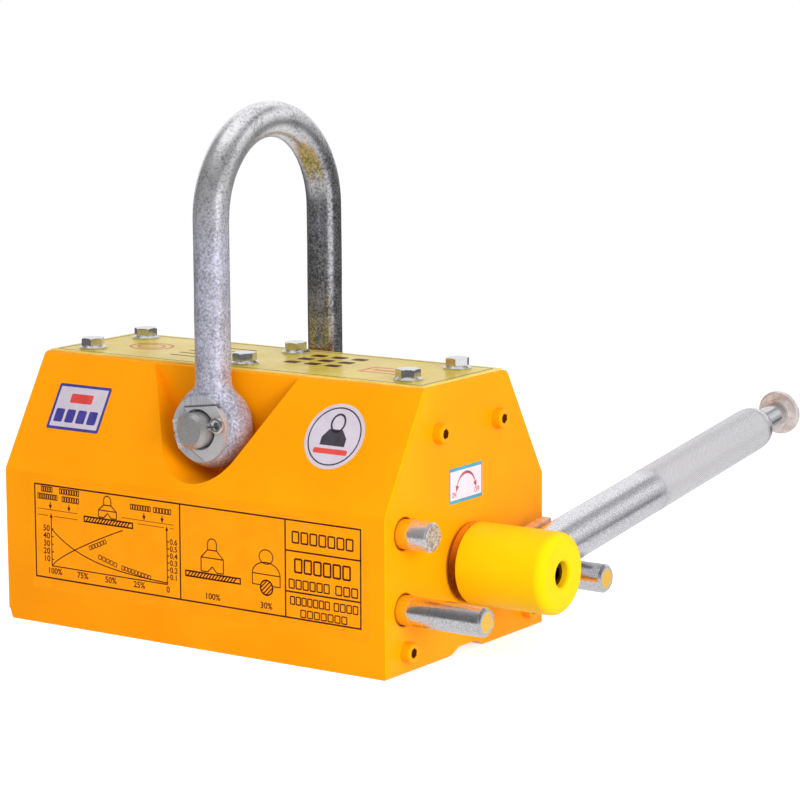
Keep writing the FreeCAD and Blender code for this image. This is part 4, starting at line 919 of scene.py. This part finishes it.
# The shackle pin, the split washers beside the eyes, and the split pins that keep them on: turned, coiled and
# bent steel, bright plated. The front washer's lap stands up on the right, with dark lines of painted shade
# beside its ends.
LAP_HOLE = 11.4
LAP_RADIUS = 18.3
LAP_ENDS = ((-9.6, 11.2), (-8.7, -9.2))
LAP_ARC = (50, -75)
LAP_HOLE_ARC = (-133, 130)
LAP_LEVELS = (0.0, 1.2)
STEP_SHADE = (0.8, 1.3)
STEP_START = (-1.5, 0)
EYE_SIDE = (-8.0, 6.0)

washer_zinc = metal_finish(
    "washer_zinc", (0.56, 0.56, 0.58), (0.70, 0.70, 0.72), 1200, (0.28, 0.40), 0.008, 0.5)
pin_zinc = metal_finish(
    "shackle_pin_zinc", (0.40, 0.39, 0.39), (0.52, 0.51, 0.51), 1200, (0.26, 0.38), 0.010, 0.75)
dress(pin_zinc, "shackle_pin")
dress(washer_zinc, "rear_eye_washer")
washer_low, washer_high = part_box("front_eye_washer")
washer_middle = (washer_low + washer_high) / 2
washer_face = on_surface((washer_middle.x, washer_low.y, washer_middle.z), (1, 0, 0), (0, 0, 1))
stepped_zinc, shader, place = patterned("stepped_washer_zinc")
streaks = grain(vector_of("MULTIPLY", place, (1.0, 1.0, 0.12)), 900, 3)
plating = toned(streaks, (0.36, (0.48, 0.48, 0.51)), (0.62, (0.62, 0.62, 0.65)))
# Painted shade: dark lines on the washer beside the two ends of the lap, where its step would shade it.
painted_step_shade = None
for end, start in zip(LAP_ENDS, LAP_ARC):
    far = Vector(arc((0, 0), LAP_RADIUS, start, start, 1)[0])
    along = (far - Vector(end)).normalized()
    outward = along.orthogonal()
    outward = outward if outward.dot(Vector(end)) > 0 else -outward
    from_end = vector_of("SUBTRACT", place, washer_face @ Vector((*end, 0)))
    beside = vector_of("DOT_PRODUCT", from_end, (outward.x, 0, outward.y))
    onward = vector_of("DOT_PRODUCT", from_end, (along.x, 0, along.y))
    line = times(stretch(beside, *STEP_SHADE, 1, 0), stretch(beside, -2 * STEP_SHADE[1], -STEP_SHADE[1]))
    line = times(line, stretch(onward, *STEP_START))
    painted_step_shade = line if painted_step_shade is None else reckon("MAXIMUM", painted_step_shade, line)
coat(shader, Base_Color=mixed(painted_step_shade, plating, (0.10, 0.095, 0.10)),
     Metallic=mixed(painted_step_shade, 0.5, 0.0), Roughness=spread(streaks, 0.3, 0.7, 0.28, 0.40))
dress(stepped_zinc, "front_eye_washer")

split_zinc, shader, place = patterned("split_pin_zinc")
towards_eye = stretch(axes(place)["X"], *EYE_SIDE)
mottle = grain(place, 700, 4, 0.6)
coat(shader, Base_Color=toned(mottle, (0.36, (0.56, 0.56, 0.58)), (0.64, (0.78, 0.78, 0.80))),
     Metallic=mixed(towards_eye, 0.25, 1.0), Roughness=spread(mottle, 0.3, 0.7, 0.20, 0.34))
dress(split_zinc, "front_split_pin", "rear_split_pin")
lap = [LAP_ENDS[0], *arc((0, 0), LAP_RADIUS, *LAP_ARC, 40)]
lap += [LAP_ENDS[1], *arc((0, 0), LAP_HOLE, *LAP_HOLE_ARC, 60)]
printed("front_washer_lap", [lap], washer_face, LAP_LEVELS, washer_zinc, body="shackle")

# The rating print on the front: a clear film printed in brown-black with a lifting chart, two figures of the
# lifter on flat and round stock, and three ruled boxes. Rows of hollow blocks stand for the words.
LINE = 0.90
HAIR = 0.62
FRAME_BOX = (-110.3, 26.0, 116.3, 80.4)
DIVIDERS = (-5.2, 66.6)
BOX_ROWS = (63.2, 40.8)
FILM_BOX = (-112.5, 19.5, 121.5, 82.5)
FILM_LEVELS = (0.0, 0.06)
INK_LEVELS = (0.06, 0.10)
CHART_BOX = (-98.0, 33.6, -14.4, 62.2)
CHART_TOP = 55.0
FALL_RATE = 26.0
RISE_END = (-45.8, 60.3)
RISE_POWER = 0.78
CURVE_STEPS = 24
LEFT_TICKS = {"first": 37.4, "pitch": 4.4, "count": 5}
RIGHT_TICKS = {"first": 37.9, "pitch": 3.96, "count": 6}
RIGHT_AXIS_RISE = 2.4
BALL = (53.9, 40.7, 4.1)
DOME = (53.7, 47.9, 9.3)
DIGIT = 4.9
HATCH_PITCH = 2.1
PRINT_TILT = 0.0047

strokes, given, result = tree_of("row_of_strokes", Count="Int", Pitch="Vector", Stroke="Vector", Lean="Float",
                                 Finish="Material")
row_line = made(strokes, "GeometryNodeMeshLine", given["Count"], None, (0, 0, 0), given["Pitch"])
one_stroke = made(strokes, "GeometryNodeMeshCube", given["Stroke"])
row = made(strokes, "GeometryNodeInstanceOnPoints", row_line, None, one_stroke)
solid = made(strokes, "GeometryNodeRealizeInstances", row)
spot = axes(made(strokes, "GeometryNodeInputPosition"))
slant = made(strokes, "ShaderNodeCombineXYZ", times(spot["Y"], given["Lean"]))
leaning = made(strokes, "GeometryNodeSetPosition", solid, None, None, slant)
closed(leaning, given, result)


def stroke_row(first, count, pitch, size, lean=0.0):
    """A row of like strokes from the middle of the first, in the plane of a print."""
    mesh = grown("strokes", strokes, points_mesh("row_start", [(0, 0, 0)]), Count=count, Pitch=(*pitch, 0),
                 Stroke=(*size, INK_LEVELS[1] - INK_LEVELS[0]), Lean=lean, Finish=ink)
    mesh.transform(Matrix.Translation((*first, sum(INK_LEVELS) / 2)))
    return mesh


def lettering(text, place, size, levels=INK_LEVELS, narrow=1.0):
    """Flat letters or numbers about a place, as a mesh in the plane of a print."""
    writing = bpy.data.curves.new("lettering", "FONT")
    writing.body = text
    writing.size = size
    writing.align_x = "CENTER"
    writing.align_y = "CENTER"
    writing.resolution_u = 3
    writing.offset = size * 0.016
    writing.extrude = (levels[1] - levels[0]) / 2
    holder = shown("lettering", writing)
    mesh = baked(holder)
    bpy.data.objects.remove(holder)
    mesh.transform(Matrix.Translation((*place, sum(levels) / 2)) @ Matrix.Diagonal((narrow, 1, 1, 1)))
    return mesh


def hatched_bar(left, bottom, right, top):
    """A ruled bar filled with slanting strokes: its outlines and the mesh of the strokes."""
    height = top - bottom
    count = int((right - left - height) / HATCH_PITCH)
    first = (left + height / 2 + 0.9, (bottom + top) / 2)
    rows = stroke_row(first, count, (HATCH_PITCH, 0), (0.95, height - LINE), 0.8)
    return frame_lines(left, bottom, right, top, LINE), rows


def down_arrow(u, top, bottom):
    """A short arrow that points down."""
    return [bar(u - HAIR / 2, bottom + 2.0, u + HAIR / 2, top),
            [(u - 1.2, bottom + 2.6), (u, bottom), (u + 1.2, bottom + 2.6)]]


def word(start, end, height, count):
    """Stand-in for a printed word: a row of small hollow blocks along a line."""
    pitch = (Vector(end) - Vector(start)) / count
    rise = pitch.normalized().orthogonal() * height
    outlines = []
    for index in range(count):
        near = Vector(start) + pitch * (index + 0.14)
        far = near + pitch * 0.72
        corners = (near, far, far + rise, near + rise)
        outlines += [stroke((corners[side - 1], corners[side]), 0.2 + 0.12 * height) for side in range(4)]
    return outlines


def small_lifter(u, bottom, width, shoulder, neck, top):
    """Line figure of a lifter with a V under its foot and a round loop on top."""
    half, slim = width / 2, width / 5
    body = [(u - half, shoulder), (u - half, bottom), (u - slim, bottom), (u, bottom + slim),
            (u + slim, bottom), (u + half, bottom), (u + half, shoulder), (u + slim, neck), (u - slim, neck),
            (u - half, shoulder), (u + half, shoulder)]
    lines = [stroke(body[index:index + 2], HAIR) for index in range(len(body) - 1)]
    loop = [(u - slim, neck), *arc((u, top - slim), slim, 180, 0, 8), (u + slim, neck)]
    return lines + [stroke(loop, HAIR)]


front_face = on_surface((0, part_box("pole_front")[0].y, 0), (1, 0, -PRINT_TILT), (PRINT_TILT, 0, 1))
left, bottom, right, top = FRAME_BOX
rating = frame_lines(left, bottom, right, top, LINE)
rating += [bar(divider - LINE / 2, bottom + LINE, divider + LINE / 2, top - LINE) for divider in DIVIDERS]
rating += [bar(DIVIDERS[1] + LINE / 2, row - LINE / 2, right - LINE, row + LINE / 2) for row in BOX_ROWS]
marks = []

chart_left, chart_low, chart_right, chart_high = CHART_BOX
rating += [bar(chart_left, chart_low - HAIR / 2, chart_right, chart_low + HAIR / 2)]
for axis, peak in ((chart_left, chart_high), (chart_right, chart_high + RIGHT_AXIS_RISE)):
    rating.append(bar(axis - HAIR / 2, chart_low, axis + HAIR / 2, peak))
    rating.append([(axis - 1.0, peak - 0.8), (axis + 1.0, peak - 0.8), (axis, peak + 1.8)])
fall = []
rise = []
for step in range(CURVE_STEPS + 1):
    share = step / CURVE_STEPS
    u = chart_left + (chart_right - chart_left) * share
    fall.append((u, chart_low + (CHART_TOP - chart_low) * math.exp((chart_left - u) / FALL_RATE)))
    rise.append((chart_left + (RISE_END[0] - chart_left) * share,
                 chart_low + (RISE_END[1] - chart_low) * share ** RISE_POWER))
rating += [stroke(fall, HAIR), stroke(rise, HAIR)]
for axis, ticks, label, aside, size in ((chart_left, LEFT_TICKS, "{}0", -3.7, DIGIT),
                                        (chart_right, RIGHT_TICKS, "0.{}", 4.6, DIGIT * 0.9)):
    first, pitch, count = ticks.values()
    marks.append(stroke_row((axis + 0.8, first), count, (0, pitch), (1.4, HAIR)))
    for index in range(count):
        marks.append(lettering(label.format(index + 1), (axis + aside, first + pitch * index), size))
for index, share in enumerate(("100%", "75%", "50%", "25%", "0")):
    marks.append(lettering(share, (-96 + 20.5 * index, 30.6), DIGIT))
marks += [lettering("100%", (17.0, 30.7), DIGIT), lettering("30%", (53.6, 30.6), DIGIT)]
for u, top, bottom in ((-98.5, 70.3, 66.2), (-84.7, 70.3, 66.2), (-30.4, 71.9, 67.8), (-17.6, 71.9, 67.8)):
    rating += down_arrow(u, top, bottom)
rating += [bar(-108.0, 65.8, -78.7, 66.1), bar(-108.0, 62.3, -100.2, 62.6), bar(-96.0, 62.3, -78.7, 62.6)]
rating += [bar(-46.1, 67.4, -9.5, 67.7), bar(-35.1, 65.2, -16.4, 65.5), bar(-12.2, 65.2, -9.5, 65.5)]
words = [(-105.2, 76.1, -96.7, 2.9, 5), (-107.8, 71.8, -93.2, 2.9, 9), (-91.8, 76.0, -77.0, 2.9, 8)]
words += [(-89.9, 71.6, -77.2, 2.9, 7), (-40.3, 73.1, -25.6, 2.8, 8), (-23.8, 73.1, -11.1, 2.8, 6)]
words += [(70.5, 67.8, 111.7, 6.0, 7), (72.0, 51.8, 109.9, 7.2, 6), (68.4, 42.8, 96.0, 4.8, 6)]
words += [(99.0, 42.8, 114.5, 4.8, 3), (69.3, 34.0, 96.0, 4.2, 7), (98.0, 34.0, 114.5, 4.2, 4)]
words += [(76.0, 27.7, 107.4, 3.8, 7)]
for u, v, end, height, count in words:
    rating += word((u, v), (end, v), height, count)
for start, end, count in (((-70.0, 46.0), (-57.4, 51.6), 6), ((-64.2, 42.2), (-50.4, 38.6), 5),
                          ((-47.4, 38.0), (-26.2, 34.6), 9)):
    rating += word(start, end, 2.2, count)

for figure, stock in (((-56.6, 66.0, 13.0, 70.0, 73.2, 78.4), (-74.1, 61.8, -38.2, 65.6)),
                      ((17.0, 44.4, 15.4, 52.2, 56.7, 63.1), (-1.9, 40.0, 36.6, 43.8))):
    outlines, hatch = hatched_bar(*stock)
    rating += small_lifter(*figure) + outlines
    marks.append(hatch)
rating += ring(53.7, 57.6, 4.6, HAIR, 0.85)
dome = arc(DOME[:2], DOME[2], 0, 180, 16)
rating.append(stroke([(u, DOME[1] + (v - DOME[1]) * 0.72) for u, v in dome], HAIR))
rating += [bar(44.4, 47.6, 63.0, 48.2), bar(44.1, 41.7, 44.7, 47.9), bar(62.7, 41.7, 63.3, 47.9)]
rating += [bar(44.4, 41.6, 49.4, 42.2), bar(58.4, 41.6, 63.0, 42.2)]
rating += ring(*BALL, LINE)
for offset in (-2.6, -0.9, 0.9, 2.6):
    half = math.sqrt(BALL[2] ** 2 - offset ** 2) * math.sqrt(0.5)
    u = BALL[0] + offset * math.sqrt(0.5)
    v = BALL[1] - offset * math.sqrt(0.5)
    rating.append(stroke([(u - half, v - half), (u + half, v + half)], 0.7))

film = print_finish("clear_print_film", (0.97, 0.318, 0.003), (1.00, 0.350, 0.005), 0.3, 0.25,
                    ENAMEL_GLOSS)
printed("rating_film", [rounded_bar(*FILM_BOX, 2.0)], front_face, FILM_LEVELS, film)
printed("rating_print", rating, front_face, INK_LEVELS, ink, marks)

# The square sticker on the left of the front slope: white vinyl with a blue border, a red bar and a row of
# blue blocks.
SLOPE_FOOT = (-78.0, 87.0)
SLOPE_TOP = (-41.0, 150.0)
SQUARE_BOX = (-112.0, 26.9, -74.0, 54.6)
SQUARE_BORDER = 1.7
BASE_LEVELS = (0.0, 0.10)
FIELD_LEVELS = (0.10, 0.13)
MARK_LEVELS = (0.13, 0.16)

slope_up = (0, SLOPE_TOP[0] - SLOPE_FOOT[0], SLOPE_TOP[1] - SLOPE_FOOT[1])
front_slope = on_surface((0, SLOPE_FOOT[0] * MM, SLOPE_FOOT[1] * MM), (1, 0, 0), slope_up)
vinyl = print_finish("lilac_white_vinyl", (0.54, 0.48, 0.56), (0.60, 0.54, 0.62), 0.32)
blue_ink = print_finish("violet_blue_ink", (0.040, 0.032, 0.230), (0.060, 0.050, 0.300))
square = rounded_bar(*SQUARE_BOX, 1.2)
field = rounded_bar(*inset(SQUARE_BOX, SQUARE_BORDER, SQUARE_BORDER), 0.6)
printed("square_sticker_border", [square], front_slope, BASE_LEVELS, blue_ink)
printed("square_sticker_field", [field], front_slope, FIELD_LEVELS, vinyl)
red_blocks = [rounded_bar(-101.0, 43.4, -85.0, 49.0, 1.0)]
blue_blocks = [rounded_bar(-108.6 + 8.1 * index, 31.4, -102.3 + 8.1 * index, 39.4, 1.0) for index in range(4)]
printed("square_sticker_red", red_blocks, front_slope, MARK_LEVELS, red_ink)
printed("square_sticker_blue", blue_blocks, front_slope, MARK_LEVELS, blue_ink)

# The round sticker on the right of the front slope: pale vinyl with a dark ring, and a plain figure of a
# weight over a red bar.
ROUND_MIDDLE = (84.8, 41.6)
ROUND_RADIUS = 18.8
ROUND_RING = 16.4

grey_ink = print_finish("grey_black_ink", (0.030, 0.026, 0.034), (0.060, 0.052, 0.066))
disc = arc(ROUND_MIDDLE, ROUND_RADIUS, 0, 360, 64)[:-1]
printed("round_sticker_field", [disc], front_slope, BASE_LEVELS, vinyl)
u, v = ROUND_MIDDLE
figure = ring(u, v, ROUND_RING, 0.8) + ring(u, v + 7.6, 4.2, 1.2, 1.2)
figure += [[(u - 8.0, v - 5.4), (u + 8.0, v - 5.4), (u + 8.0, v - 0.8), (u + 4.2, v + 4.0),
            (u - 4.2, v + 4.0), (u - 8.0, v - 0.8)]]
printed("round_sticker_figure", figure, front_slope, FIELD_LEVELS, grey_ink)
red_bar = rounded_bar(u - 11, v - 10.2, u + 11, v - 7.2, 0.9)
printed("round_sticker_red", [red_bar], front_slope, FIELD_LEVELS, red_ink)

# The switch sticker on the lever-end plate: pale vinyl with a teal border, a red arrow that points both ways
# round, and the two lever positions.
SWITCH_BOX = (-17.6, 83.9, 14.8, 103.4)
SWITCH_BORDERS = (1.0, 1.9)
ARROW_MIDDLE = (-1.2, 90.4)
ARROW_RADIUS = 9.2
ARROW_WIDTH = 1.6
ARROW_ENDS = (18, 162)
ARROW_STEPS = 24
ARROW_HEAD = {"half_width": 1.7, "length": 3.4}

plate_face = on_surface((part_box("hub_end_plate")[1].x, 0, 0), (0, 1, 0), (0, 0, 1))
teal_ink = print_finish("teal_ink", (0.055, 0.300, 0.430), (0.085, 0.360, 0.500))
blush = print_finish("blush_vinyl", (0.78, 0.64, 0.72), (0.82, 0.70, 0.78))
faded_red = print_finish("faded_red_ink", (0.40, 0.055, 0.075), (0.47, 0.085, 0.105))
printed("switch_sticker_border", [bar(*SWITCH_BOX)], plate_face, BASE_LEVELS, teal_ink)
field = bar(*inset(SWITCH_BOX, *SWITCH_BORDERS))
printed("switch_sticker_field", [field], plate_face, FIELD_LEVELS, blush)
bow = []
for index, point in enumerate(arc(ARROW_MIDDLE, ARROW_RADIUS, *ARROW_ENDS, ARROW_STEPS)):
    swell = ARROW_WIDTH * (0.35 + 0.65 * math.sin(math.pi * index / ARROW_STEPS))
    outward = (Vector(point) - Vector(ARROW_MIDDLE)).normalized() * swell / 2
    bow.append((Vector(point) + outward, Vector(point) - outward))
arrow = [[outer for outer, inner in bow] + [inner for outer, inner in bow][::-1]]
for angle, turn in zip(ARROW_ENDS, (-1, 1)):
    base = Vector(arc(ARROW_MIDDLE, ARROW_RADIUS, angle, angle, 1)[0])
    outward = (base - Vector(ARROW_MIDDLE)).normalized()
    across = outward * ARROW_HEAD["half_width"]
    tip = base + outward.orthogonal() * turn * ARROW_HEAD["length"]
    arrow.append([base + across, base - across, tip])
letters = [lettering(text, place, 4.2, MARK_LEVELS, 0.7)
           for text, place in (("ON", (-13.2, 88.6)), ("OFF", (9.4, 88.4)))]
printed("switch_sticker_arrow", arrow, plate_face, MARK_LEVELS, faded_red, letters)
